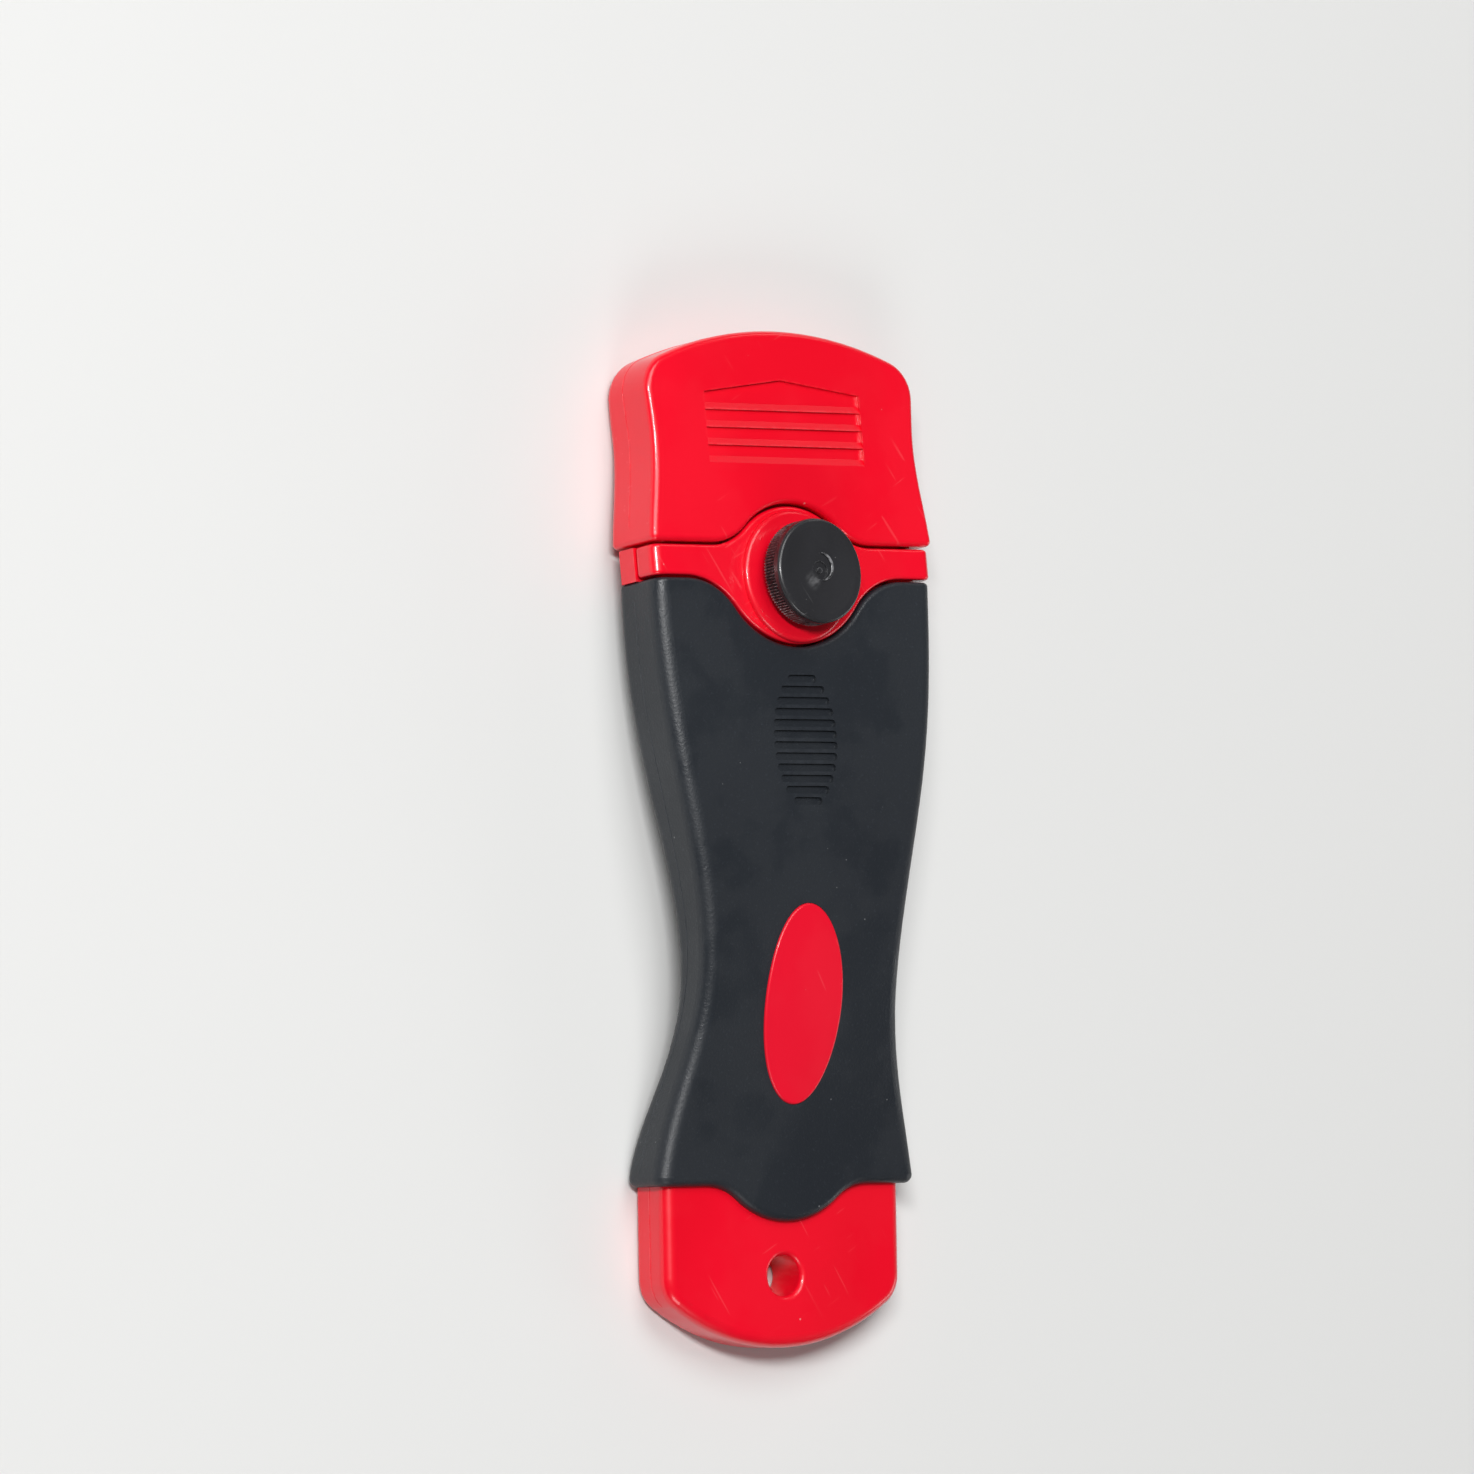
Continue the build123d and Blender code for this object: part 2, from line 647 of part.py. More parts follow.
def make_knob(screw):
    """Knurled knob moulded over the screw's head."""
    knurl_top = knob_base + knurl_height
    points = []
    for tooth in range(2 * knurl_count):
        radius = knob_radius - knurl_depth * (tooth % 2)
        angle = pi * tooth / knurl_count
        points.append((radius * cos(angle), radius * sin(angle)))
    knurl = slab(make_face(Polyline(*points, close=True)), knob_base, knurl_top)
    rim_corner = knob_radius - knob_rim_round
    rim_middle = knob_rim_round / sqrt(2)
    rim_arc = ThreePointArc(
        (rim_corner, knob_face),
        (rim_corner + rim_middle, knob_face - knob_rim_round + rim_middle),
        (knob_radius, knob_face - knob_rim_round),
    )
    dish_radius = knob_radius - knob_rim_width
    dish = TangentArc((0, knob_face - knob_dish), (dish_radius, knob_face), tangent=(1, 0))
    outline = [
        dish,
        Line((dish_radius, knob_face), (rim_corner, knob_face)),
        rim_arc,
        Line((knob_radius, knob_face - knob_rim_round), (knob_radius, knurl_top)),
        Line((knob_radius, knurl_top), (0, knurl_top)),
        Line((0, knurl_top), (0, knob_face - knob_dish)),
    ]
    cap = revolve(Plane.XZ * make_face(Curve() + outline), Axis.Z)
    knob = cap + knurl + tube_cut(knob_hub_radius, washer_top, knob_base)
    mark_floor = knob_face - knob_dish - gate_mark_depth
    knob -= tube_cut(gate_mark_radius, mark_floor, knob_face)
    knob += tube_cut(gate_nub_radius, mark_floor, mark_floor + gate_mark_depth)
    return knob - screw


def make_screw():
    """Hexagon-headed screw, head up inside the knob, with a ringed thread below the washer."""
    head_top = knob_face - knob_dish - gate_mark_depth - screw_head_cover
    head_base = head_top - screw_head_height
    tip = screw_tip_short - core_boss_back
    screw = slab(hexagon(screw_head_flats), head_base, head_top) + tube_cut(screw_radius, 0, head_base)
    root = screw_radius - thread_depth
    points = [(0, 0), (screw_radius, 0)]
    for turn in range(int((-tip - screw_tip_taper) / thread_pitch)):
        start = -turn * thread_pitch
        points.append((root, start - thread_pitch / 2))
        points.append((screw_radius, start - thread_pitch))
    points += [(root, tip), (0, tip)]
    thread = revolve(Plane.XZ * make_face(Polyline(*points, close=True)), Axis.Z)
    return screw + thread


def make_washer():
    """Flat washer between the knob's hub and the boss."""
    washer = tube_cut(washer_radius, boss_top, washer_top)
    washer = chamfer(washer.edges(), washer_chamfer)
    return washer - tube_cut(screw_radius + running_gap, 0, washer_top + overrun)


def make_nut():
    """Hexagon nut in the core's rear boss."""
    low = -core_boss_back
    nut = slab(hexagon(nut_flats), low, low + nut_height)
    corner_radius = nut_flats / sqrt(3)
    disc = tube_cut(corner_radius, low, low + nut_height)
    nut = nut & chamfer(disc.edges().group_by(Axis.Z)[0], nut_chamfer)
    return nut - tube_cut(screw_radius + running_gap, low - overrun, low + nut_height + overrun)


ends = head_region_below(edge_gap) & region_above_foot()
shank = handle_blank(grip_side_skin, grip_skin) & ends
core = make_core(shank)
blank = round_ends(grip_blank() & ends)
screw = make_screw()
blade = make_blade()

parts = {
    "handle_core": core,
    "grip_sleeve": make_sleeve(blank, core),
    "oval_inlay": make_inlay(core),
    "clamp_nut": head * make_nut(),
    "blade": head * blade,
    "blade_spine": head * make_spine(blade),
    "blade_guard": head * make_guard(),
    "clamp_plate": head * make_plate(),
    "washer": head * make_washer(),
    "knob": head * make_knob(screw),
    "knob_screw": head * screw,
}

os.makedirs("parts", exist_ok=True)
for name, part in parts.items():
    export_step(part, f"parts/{name}.step")
    print(name, len(part.solids()), round(part.volume, 1), part.bounding_box())
print("knob axis foot", head.position, "axis", head.z_axis.direction, "slide", head.y_axis.direction)
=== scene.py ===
"""Finishes, moulding marks and a small studio for the hob scraper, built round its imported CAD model."""

import logging
from dataclasses import dataclass
from enum import Enum
from functools import partial
from math import pi, radians
from typing import Callable

import bpy
from bpy.types import Material, Node, NodeSocket, NodeTree, Object
from mathutils import Matrix, Vector


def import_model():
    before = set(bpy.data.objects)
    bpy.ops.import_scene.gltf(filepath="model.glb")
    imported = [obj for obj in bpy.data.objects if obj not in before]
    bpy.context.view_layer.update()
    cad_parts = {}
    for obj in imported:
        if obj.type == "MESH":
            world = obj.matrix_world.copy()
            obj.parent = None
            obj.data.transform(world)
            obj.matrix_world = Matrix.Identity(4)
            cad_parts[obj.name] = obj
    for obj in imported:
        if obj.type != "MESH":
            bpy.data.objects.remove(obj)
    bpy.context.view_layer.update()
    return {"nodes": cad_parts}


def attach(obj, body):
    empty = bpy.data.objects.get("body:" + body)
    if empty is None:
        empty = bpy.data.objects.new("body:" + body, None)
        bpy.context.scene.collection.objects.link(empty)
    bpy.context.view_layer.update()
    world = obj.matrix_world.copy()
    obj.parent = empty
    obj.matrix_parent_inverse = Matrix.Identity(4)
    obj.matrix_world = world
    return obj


LOG = logging.getLogger("hob_scraper")
MM = 0.001
Pair = tuple[float, float]
Triple = tuple[float, float, float]
Colour = Triple
Line = tuple[Pair, ...]
FACING = 0.3  # a face looks the wanted way when its normal's share along it is above this


class Body(Enum):
    """Bodies of the scraper that the new pieces ride on."""

    HANDLE = "handle"
    GUARD = "guard"
    KNOB = "knob"


class Slot(Enum):
    """Material slots of the record."""

    RED_PLASTIC = "red_plastic"
    RED_GUARD = "red_guard"
    RED_INLAY = "red_inlay"
    SOFT_GRIP = "soft_grip"
    KNOB_PLASTIC = "knob_plastic"
    BLADE_STEEL = "blade_steel"
    PLATED_STEEL = "plated_steel"


class Effect(Enum):
    """Surface effects that several finishes share, each one a node group."""

    MOULD_FLOW = "mould_flow"
    FINE_GRAIN = "fine_grain"
    HAIRLINES = "hairlines"
    DUST = "dust_specks"
    RUB = "rub_patches"
    EDGE = "edge_wear"


class Sheet:
    """The node sheet of one material or node group, with short ways to add and join its nodes."""

    def __init__(self, tree: NodeTree) -> None:
        """Take over a node tree and empty it.

        Args:
            tree: the tree to fill.
        """
        self.tree = tree
        self.tree.nodes.clear()

    def add(self, kind: str, **settings: object) -> Node:
        """Add a node.

        Args:
            kind: the node's type name, without its ShaderNode prefix.
            settings: properties to set on the node.

        Returns:
            The new node.
        """
        node = self.tree.nodes.new(kind if kind.startswith("Node") else f"ShaderNode{kind}")
        for name, value in settings.items():
            setattr(node, name, value)
        return node

    def feed(self, target: NodeSocket, source: object) -> None:
        """Join a socket to an input, or set the input's value.

        Args:
            target: the input socket.
            source: an output socket, or the value itself.
        """
        if isinstance(source, NodeSocket):
            self.tree.links.new(source, target)
        else:
            target.default_value = source

    def fill(self, node: Node, values: dict[str, object]) -> None:
        """Feed several inputs of a node, each by its name."""
        for name, value in values.items():
            self.feed(node.inputs[name], value)

    def chain(self, node: Node, *sources: object) -> Node:
        """Feed a node's first inputs in their order, and return the node."""
        for socket, source in zip(node.inputs, sources):
            self.feed(socket, source)
        return node

    def math(self, operation: str, *sources: object, clamp: bool = False) -> NodeSocket:
        """Add a sum, product or other simple step.

        Args:
            operation: the Math node's operation.
            sources: its values or sockets, in order.
            clamp: whether the result is held between 0 and 1.

        Returns:
            The result's socket.
        """
        return self.chain(self.add("Math", operation=operation, use_clamp=clamp), *sources).outputs[0]

    def plus(self, base: NodeSocket, value: NodeSocket, share: float) -> NodeSocket:
        """Add a share of one value to another, and return the socket of the sum."""
        return self.math("MULTIPLY_ADD", value, share, base)

    def vector(self, operation: str, *sources: object) -> Node:
        """Add a step that works on whole vectors, and return its node."""
        return self.chain(self.add("VectorMath", operation=operation), *sources)

    def noise(self, vector: NodeSocket, scale: object, detail: float = 2.0, rough: float = 0.5) -> NodeSocket:
        """Add a noise texture.

        Args:
            vector: where it is read.
            scale: its scale, or a socket with it.
            detail: how many octaves it has.
            rough: how strong the fine octaves are.

        Returns:
            The socket of its value.
        """
        node = self.add("TexNoise")
        self.fill(node, {"Vector": vector, "Scale": scale, "Detail": detail, "Roughness": rough})
        return node.outputs["Fac"]

    def remap(
        self, value: NodeSocket, low: object, high: object, to: tuple[object, object] = (0.0, 1.0)
    ) -> NodeSocket:
        """Stretch a range of values over another one, and hold it there.

        Args:
            value: the value's socket.
            low: what becomes the first value of to.
            high: what becomes the second value of to.
            to: the new range.

        Returns:
            The socket of the new value.
        """
        node = self.add("MapRange", interpolation_type="SMOOTHSTEP")
        return self.chain(node, value, low, high, *to).outputs[0]

    def mix(self, share: object, first: object, second: object) -> NodeSocket:
        """Mix two colours.

        Args:
            share: how much of the second colour is taken.
            first: colour or socket.
            second: colour or socket.

        Returns:
            The socket of the mixed colour.
        """
        node = self.add("Mix", data_type="RGBA")
        for name, source in (("Factor_Float", share), ("A_Color", first), ("B_Color", second)):
            socket = next(item for item in node.inputs if item.identifier == name)
            self.feed(socket, (*source, 1.0) if isinstance(source, tuple) else source)
        return next(item for item in node.outputs if item.identifier == "Result_Color")

    def stretch(self, vector: NodeSocket, scale: Triple, turn: float = 0.0) -> NodeSocket:
        """Turn the place where a pattern is read, and draw the pattern out along the turned axes.

        Args:
            vector: the place.
            scale: how many times longer the pattern gets along each axis.
            turn: the turn about the front's axis, in degrees.

        Returns:
            The socket of the new place.
        """
        node = self.add("Mapping", vector_type="TEXTURE")
        self.fill(node, {"Vector": vector, "Rotation": (0.0, 0.0, radians(turn)), "Scale": scale})
        return node.outputs[0]


class EffectShelf:
    """Makes each shared effect once, as a node group that the finishes use.

    A RANGE holds the two values of a noise between which its mask goes from nothing to full.
    """

    WHERE = {"Place": "Vector", "Scale": "Float"}
    MASK = {"Mask": "Float"}
    FLOW_STRETCH = (1.0, 2.2, 0.6)
    FLOW_RANGE = (0.34, 0.68)
    COARSE_SHARE = 0.65
    FINE_RATIO = 2.3
    SPARKLE_RANGE = (0.58, 0.72)
    LINE_WAYS = ((33.0, 22.0), (-61.0, 14.0))
    LINE_DEPTH = 3.0
    LINE_RANGE = (0.78, 0.81)
    LINE_PATCH_SCALE = 70.0
    LINE_PATCH_RANGE = (0.48, 0.62)
    DUSTY_FROM = 0.8
    SPECK_SIZE = 0.085
    SPECK_SOFTNESS = 0.03
    RUB_RANGE = (0.42, 0.62)
    RIM_RANGE = (0.62, 0.35)
    WORN_RANGE = (0.4, 0.6)

    def __init__(self) -> None:
        """Start with an empty shelf."""
        self.groups: dict[Effect, NodeTree] = {}

    def group(self, effect: Effect) -> NodeTree:
        """Return the node group of an effect, made when it is first asked for."""
        if effect not in self.groups:
            self.groups[effect] = getattr(self, f"make_{effect.value}")()
        return self.groups[effect]

    @staticmethod
    def open_group(
        effect: Effect, inputs: dict[str, str], outputs: dict[str, str]
    ) -> tuple[Sheet, Node, Node]:
        """Make an empty node group with named sockets.

        Args:
            effect: the effect that the group is for.
            inputs: socket types by input name.
            outputs: socket types by output name.

        Returns:
            The group's sheet, its input node and its output node.
        """
        tree = bpy.data.node_groups.new(effect.value, "ShaderNodeTree")
        for direction, sockets in (("INPUT", inputs), ("OUTPUT", outputs)):
            for name, kind in sockets.items():
                tree.interface.new_socket(name=name, in_out=direction, socket_type=f"NodeSocket{kind}")
        sheet = Sheet(tree)
        return sheet, sheet.add("NodeGroupInput"), sheet.add("NodeGroupOutput")

    def make_mould_flow(self) -> NodeTree:
        """Slow drift between two tones of a moulded colour, as the melt leaves it."""
        sheet, given, out = self.open_group(
            Effect.MOULD_FLOW,
            {**self.WHERE, "Tone": "Color", "Deep": "Color"},
            {"Colour": "Color", "Drift": "Float"},
        )
        along = sheet.stretch(given.outputs["Place"], self.FLOW_STRETCH)
        bent = sheet.noise(along, given.outputs["Scale"], 3.0, 0.55)
        drift = sheet.remap(bent, *self.FLOW_RANGE)
        sheet.feed(out.inputs["Colour"], sheet.mix(drift, given.outputs["Tone"], given.outputs["Deep"]))
        sheet.feed(out.inputs["Drift"], drift)
        return sheet.tree

    def make_fine_grain(self) -> NodeTree:
        """Spark-eroded mould texture: a height, and a mask of its brightest points."""
        sheet, given, out = self.open_group(
            Effect.FINE_GRAIN, self.WHERE, {"Height": "Float", "Sparkle": "Float"}
        )
        coarse = sheet.noise(given.outputs["Place"], given.outputs["Scale"], 1.0)
        fine_scale = sheet.math("MULTIPLY", given.outputs["Scale"], self.FINE_RATIO)
        fine = sheet.noise(given.outputs["Place"], fine_scale, 1.0)
        most = sheet.math("MULTIPLY", coarse, self.COARSE_SHARE)
        height = sheet.plus(most, fine, 1.0 - self.COARSE_SHARE)
        sheet.feed(out.inputs["Height"], height)
        sheet.feed(out.inputs["Sparkle"], sheet.remap(height, *self.SPARKLE_RANGE))
        return sheet.tree

    def make_hairlines(self) -> NodeTree:
        """Fine handling scratches in two crossing ways, each with its turn in degrees and its length."""
        sheet, given, out = self.open_group(Effect.HAIRLINES, self.WHERE, self.MASK)
        patches = sheet.noise(given.outputs["Place"], self.LINE_PATCH_SCALE, 1.0)
        where = sheet.remap(patches, *self.LINE_PATCH_RANGE)
        masks = []
        for turn, reach in self.LINE_WAYS:
            drawn = sheet.stretch(given.outputs["Place"], (1.0, reach, self.LINE_DEPTH), turn)
            line = sheet.noise(drawn, given.outputs["Scale"], 0.0)
            masks.append(sheet.remap(line, *self.LINE_RANGE))
        sheet.feed(out.inputs["Mask"], sheet.math("MULTIPLY", sheet.math("MAXIMUM", *masks), where))
        return sheet.tree

    def make_dust_specks(self) -> NodeTree:
        """Sparse small specks of dust, each of its own size."""
        sheet, given, out = self.open_group(Effect.DUST, self.WHERE, self.MASK)
        cells = sheet.add("TexVoronoi")
        sheet.fill(cells, {"Vector": given.outputs["Place"], "Scale": given.outputs["Scale"]})
        shade = sheet.add("SeparateColor")
        sheet.feed(shade.inputs[0], cells.outputs["Color"])
        size = sheet.remap(shade.outputs[0], self.DUSTY_FROM, 1.0, (0.0, self.SPECK_SIZE))
        near = sheet.math("SUBTRACT", size, cells.outputs["Distance"])
        sheet.feed(out.inputs["Mask"], sheet.remap(near, 0.0, self.SPECK_SOFTNESS))
        return sheet.tree

    def make_rub_patches(self) -> NodeTree:
        """Soft patches where hands have rubbed the surface smoother."""
        sheet, given, out = self.open_group(Effect.RUB, self.WHERE, self.MASK)
        cloud = sheet.noise(given.outputs["Place"], given.outputs["Scale"], 4.0, 0.6)
        sheet.feed(out.inputs["Mask"], sheet.remap(cloud, *self.RUB_RANGE))
        return sheet.tree

    def make_edge_wear(self) -> NodeTree:
        """Broken line of wear along outer edges, from how thin the solid is just under the surface."""
        sheet, given, out = self.open_group(Effect.EDGE, {**self.WHERE, "Thickness": "Float"}, self.MASK)
        rim = sheet.remap(given.outputs["Thickness"], *self.RIM_RANGE)
        cloud = sheet.noise(given.outputs["Place"], given.outputs["Scale"], 4.0, 0.65)
        sheet.feed(out.inputs["Mask"], sheet.math("MULTIPLY", rim, sheet.remap(cloud, *self.WORN_RANGE)))
        return sheet.tree


class Skin(Sheet):
    """The sheet of one material, with its shader, the place of each point and the shared effects."""

    def __init__(self, name: str, shelf: EffectShelf) -> None:
        """Start a material with a plain shader.

        Args:
            name: its name.
            shelf: the shared effects.
        """
        self.material = bpy.data.materials.new(name)
        self.material.use_nodes = True
        super().__init__(self.material.node_tree)
        self.shelf = shelf
        self.shader = self.add("BsdfPrincipled")
        self.feed(self.add("OutputMaterial").inputs["Surface"], self.shader.outputs[0])
        self.place = self.add("TexCoord").outputs["Object"]

    def effect(self, kind: Effect, **values: object) -> Node:
        """Place a shared effect.

        Args:
            kind: which effect.
            values: its inputs by name, as values or sockets.

        Returns:
            The group node.
        """
        node = self.add("Group", node_tree=self.shelf.group(kind))
        for name, value in {"Place": self.place, **values}.items():
            self.feed(node.inputs[name], (*value, 1.0) if isinstance(value, tuple) else value)
        return node

    def mask(self, kind: Effect, scale: float, amount: float = 1.0, **more: object) -> NodeSocket:
        """Place a shared effect that only gives a mask.

        Args:
            kind: which effect.
            scale: its scale.
            amount: how strong its mask is.
            more: its further inputs by name.

        Returns:
            The socket of the mask.
        """
        mask = self.effect(kind, Scale=scale, **more).outputs["Mask"]
        return self.math("MULTIPLY", mask, amount, clamp=True)

    def bump(self, height: NodeSocket, depth: float) -> None:
        """Give the shader a bumped normal.

        Args:
            height: the socket of the height, from 0 to 1.
            depth: the height of 1, in mm.
        """
        node = self.add("Bump")
        self.fill(node, {"Distance": depth * MM, "Height": height})
        self.feed(self.shader.inputs["Normal"], node.outputs["Normal"])


@dataclass(frozen=True)
class Finish:
    """What every finish has: a name, two tones of its colour, a plain shine, and worn edges.

    A scale is in cells for each metre. A reach, size, depth or pitch is in mm. A tint is how much
    of the second colour an effect mixes in, and a dulling is what it adds to the roughness.
    """

    name: str
    tone: Colour
    deep: Colour
    roughness: float
    flow_scale: float = 38.0
    edge_reach: float = 0.7
    edge_scale: float = 900.0
    edge_amount: float = 0.22

    def build(self, shelf: EffectShelf) -> Material:
        """Build the material with the effects of the shelf, and return it."""
        skin = Skin(self.name, shelf)
        skin.material.diffuse_color = (*self.tone, 1.0)
        self.paint(skin)
        return skin.material

    def paint(self, skin: Skin) -> None:
        """Lay the finish's own effects on a skin."""
        raise NotImplementedError

    def flow(self, skin: Skin) -> Node:
        """Place the drift between the two tones, and return its node."""
        return skin.effect(Effect.MOULD_FLOW, Scale=self.flow_scale, Tone=self.tone, Deep=self.deep)

    def edge(self, skin: Skin) -> NodeSocket:
        """Place the wear of edges, where the solid is thin just under the surface, and return its mask."""
        look = skin.add("AmbientOcclusion", inside=True, only_local=True, samples=6)
        look.inputs["Distance"].default_value = self.edge_reach * MM
        return skin.mask(Effect.EDGE, self.edge_scale, self.edge_amount, Thickness=look.outputs["AO"])


@dataclass(frozen=True)
class GlossPlastic(Finish):
    """Glossy moulded plastic with flow tones, a slight orange peel, hairlines, dust and worn edges."""

    line_scale: float = 2300.0
    line_amount: float = 0.26
    line_tint: float = 0.5
    line_dulling: float = 0.25
    line_cut: float = 0.6
    dust_scale: float = 420.0
    dust_amount: float = 0.35
    dust_tone: Colour = (0.78, 0.55, 0.52)
    dust_dulling: float = 0.35
    dust_rise: float = 0.8
    rub_scale: float = 60.0
    rub_dulling: float = 0.07
    worn_lift: float = 0.16
    coat: float = 0.4
    coat_roughness: float = 0.07
    peel_size: float = 0.9
    peel_depth: float = 0.006
    frost_scale: float = 3400.0
    frost: float = 0.0

    def paint(self, skin: Skin) -> None:
        """Lay the finish's own effects on a skin."""
        flow = self.flow(skin)
        lines = skin.mask(Effect.HAIRLINES, self.line_scale, self.line_amount)
        dust = skin.mask(Effect.DUST, self.dust_scale, self.dust_amount)
        edge = self.edge(skin)
        rub = skin.mask(Effect.RUB, self.rub_scale)
        pale = tuple(min(1.0, channel + self.worn_lift) for channel in self.tone)
        colour = skin.mix(edge, flow.outputs["Colour"], pale)
        colour = skin.mix(skin.math("MULTIPLY", lines, self.line_tint), colour, pale)
        colour = skin.mix(dust, colour, self.dust_tone)
        shine = skin.remap(rub, 0.0, 1.0, (self.roughness, self.roughness + self.rub_dulling))
        shine = skin.plus(shine, lines, self.line_dulling)
        shine = skin.plus(shine, dust, self.dust_dulling)
        skin.fill(skin.shader, {"Base Color": colour, "Roughness": shine})
        skin.fill(skin.shader, {"Coat Weight": self.coat, "Coat Roughness": self.coat_roughness})
        peel = skin.noise(skin.place, 1 / (self.peel_size * MM), 2.0, 0.4)
        height = skin.plus(skin.plus(peel, lines, -self.line_cut), dust, self.dust_rise)
        if self.frost:
            grain = skin.effect(Effect.FINE_GRAIN, Scale=self.frost_scale)
            height = skin.plus(height, grain.outputs["Height"], self.frost)
        skin.bump(height, self.peel_depth)


@dataclass(frozen=True)
class SoftRubber(Finish):
    """Satin soft-touch rubber with a spark-eroded grain, painted glints on the grain's peaks, rubbed patches,
    dust and greyed edges.
    """

    flow_scale: float = 30.0
    edge_reach: float = 0.9
    edge_scale: float = 700.0
    edge_amount: float = 0.3
    grain_size: float = 0.36
    grain_depth: float = 0.05
    dust_scale: float = 640.0
    dust_amount: float = 0.55
    dust_tone: Colour = (0.32, 0.32, 0.33)
    rub_scale: float = 75.0
    rub_range: Pair = (0.06, -0.05)
    worn_gain: float = 2.1
    worn_lift: float = 0.01
    # share of the paler grey painted on the grain's peaks, as painted glints
    painted_glint_share: float = 0.35
    sparkle_shine: float = 0.08

    def paint(self, skin: Skin) -> None:
        """Lay the finish's own effects on a skin."""
        grain = skin.effect(Effect.FINE_GRAIN, Scale=1 / (self.grain_size * MM))
        flow = self.flow(skin)
        dust = skin.mask(Effect.DUST, self.dust_scale, self.dust_amount)
        rub = skin.mask(Effect.RUB, self.rub_scale)
        edge = self.edge(skin)
        grey = tuple(channel * self.worn_gain + self.worn_lift for channel in self.tone)
        sparkle = grain.outputs["Sparkle"]
        # painted glints: the grain's peaks are mixed towards the paler grey
        tint = skin.math("MULTIPLY", sparkle, self.painted_glint_share)
        colour = skin.mix(tint, flow.outputs["Colour"], grey)
        colour = skin.mix(edge, colour, grey)
        colour = skin.mix(dust, colour, self.dust_tone)
        shine = skin.remap(rub, 0.0, 1.0, tuple(self.roughness + step for step in self.rub_range))
        shine = skin.plus(shine, sparkle, -self.sparkle_shine)
        skin.fill(skin.shader, {"Base Color": colour, "Roughness": shine})
        skin.bump(grain.outputs["Height"], self.grain_depth)


@dataclass(frozen=True)
class KnobPlastic(Finish):
    """Dark satin plastic with turned rings on its face, a scuff beside the gate, dust in the knurl, and pale
    worn edges laid on strongly, partly as a painted highlight along the rim and the knurl.

    The centre is that of the knob's face, in metres. The scuff's place and reach are in mm.
    """

    centre: Triple = (0.0, 0.0, 0.0)
    flow_scale: float = 90.0
    edge_reach: float = 0.35
    edge_scale: float = 1400.0
    # strong pale edges: partly wear, partly a painted highlight along the rim and the knurl's ridges
    edge_amount: float = 0.85
    grain_scale: float = 5200.0
    grain_range: Pair = (0.3, 0.7)
    shine_range: Pair = (-0.04, 0.06)
    bump_depth: float = 0.007
    dust_scale: float = 1100.0
    dust_amount: float = 0.45
    dust_tone: Colour = (0.42, 0.41, 0.4)
    line_scale: float = 3300.0
    line_amount: float = 0.4
    line_tint: float = 0.5
    # pale tone of scratches and worn edges; on the edges it is also the painted highlight of the rim and the
    # knurl
    worn_tone: Colour = (0.26, 0.26, 0.27)
    ring_pitch: float = 0.22
    ring_share: float = 0.12
    scuff_x: float = -1.3
    scuff_y: float = -1.35
    scuff_reach: float = 1.5
    scuff_heart: float = 0.3
    scuff_turn: float = -62.0
    scuff_scale: float = 1500.0
    scuff_stretch: Triple = (1.0, 3.0, 1.0)
    scuff_range: Pair = (0.3, 0.8)
    scuff_tone: Colour = (0.3, 0.3, 0.31)
    scuff_tint: float = 0.4
    scuff_dulling: float = 0.2
    coat: float = 0.3
    coat_roughness: float = 0.16

    def make_rings(self, skin: Skin, offset: NodeSocket) -> NodeSocket:
        """Turn rings round the knob's axis.

        Args:
            skin: the material's skin.
            offset: the socket of the way from the centre of the face.

        Returns:
            The socket of their height, from -1 to 1.
        """
        flat = skin.vector("MULTIPLY", offset, (1.0, 1.0, 0.0))
        span = skin.vector("LENGTH", flat.outputs[0])
        turns = skin.math("MULTIPLY", span.outputs["Value"], 2 * pi / (self.ring_pitch * MM))
        return skin.math("SINE", turns)

    def make_scuff(self, skin: Skin, offset: NodeSocket) -> NodeSocket:
        """Smear a pale scuff beside the gate.

        Args:
            skin: the material's skin.
            offset: the socket of the way from the centre of the face.

        Returns:
            The socket of its mask.
        """
        span = skin.vector("DISTANCE", offset, (self.scuff_x * MM, self.scuff_y * MM, 0.0))
        near = skin.remap(span.outputs["Value"], self.scuff_reach * MM, self.scuff_heart * MM)
        drawn = skin.stretch(skin.place, self.scuff_stretch, self.scuff_turn)
        smear = skin.noise(drawn, self.scuff_scale, 3.0)
        return skin.math("MULTIPLY", near, skin.remap(smear, *self.scuff_range))

    def paint(self, skin: Skin) -> None:
        """Lay the finish's own effects on a skin."""
        flow = self.flow(skin)
        grain = skin.effect(Effect.FINE_GRAIN, Scale=self.grain_scale)
        dust = skin.mask(Effect.DUST, self.dust_scale, self.dust_amount)
        edge = self.edge(skin)
        lines = skin.mask(Effect.HAIRLINES, self.line_scale, self.line_amount)
        offset = skin.vector("SUBTRACT", skin.place, self.centre).outputs[0]
        rings = self.make_rings(skin, offset)
        scuff = self.make_scuff(skin, offset)
        # pale edges: wear, and a painted highlight along the rim and the knurl
        colour = skin.mix(edge, flow.outputs["Colour"], self.worn_tone)
        colour = skin.mix(skin.math("MULTIPLY", scuff, self.scuff_tint), colour, self.scuff_tone)
        colour = skin.mix(skin.math("MULTIPLY", lines, self.line_tint), colour, self.worn_tone)
        colour = skin.mix(dust, colour, self.dust_tone)
        height = grain.outputs["Height"]
        spread = tuple(self.roughness + step for step in self.shine_range)
        shine = skin.plus(skin.remap(height, *self.grain_range, spread), scuff, self.scuff_dulling)
        skin.fill(skin.shader, {"Base Color": colour, "Roughness": shine})
        skin.fill(skin.shader, {"Coat Weight": self.coat, "Coat Roughness": self.coat_roughness})
        skin.bump(skin.plus(height, rings, self.ring_share), self.bump_depth)


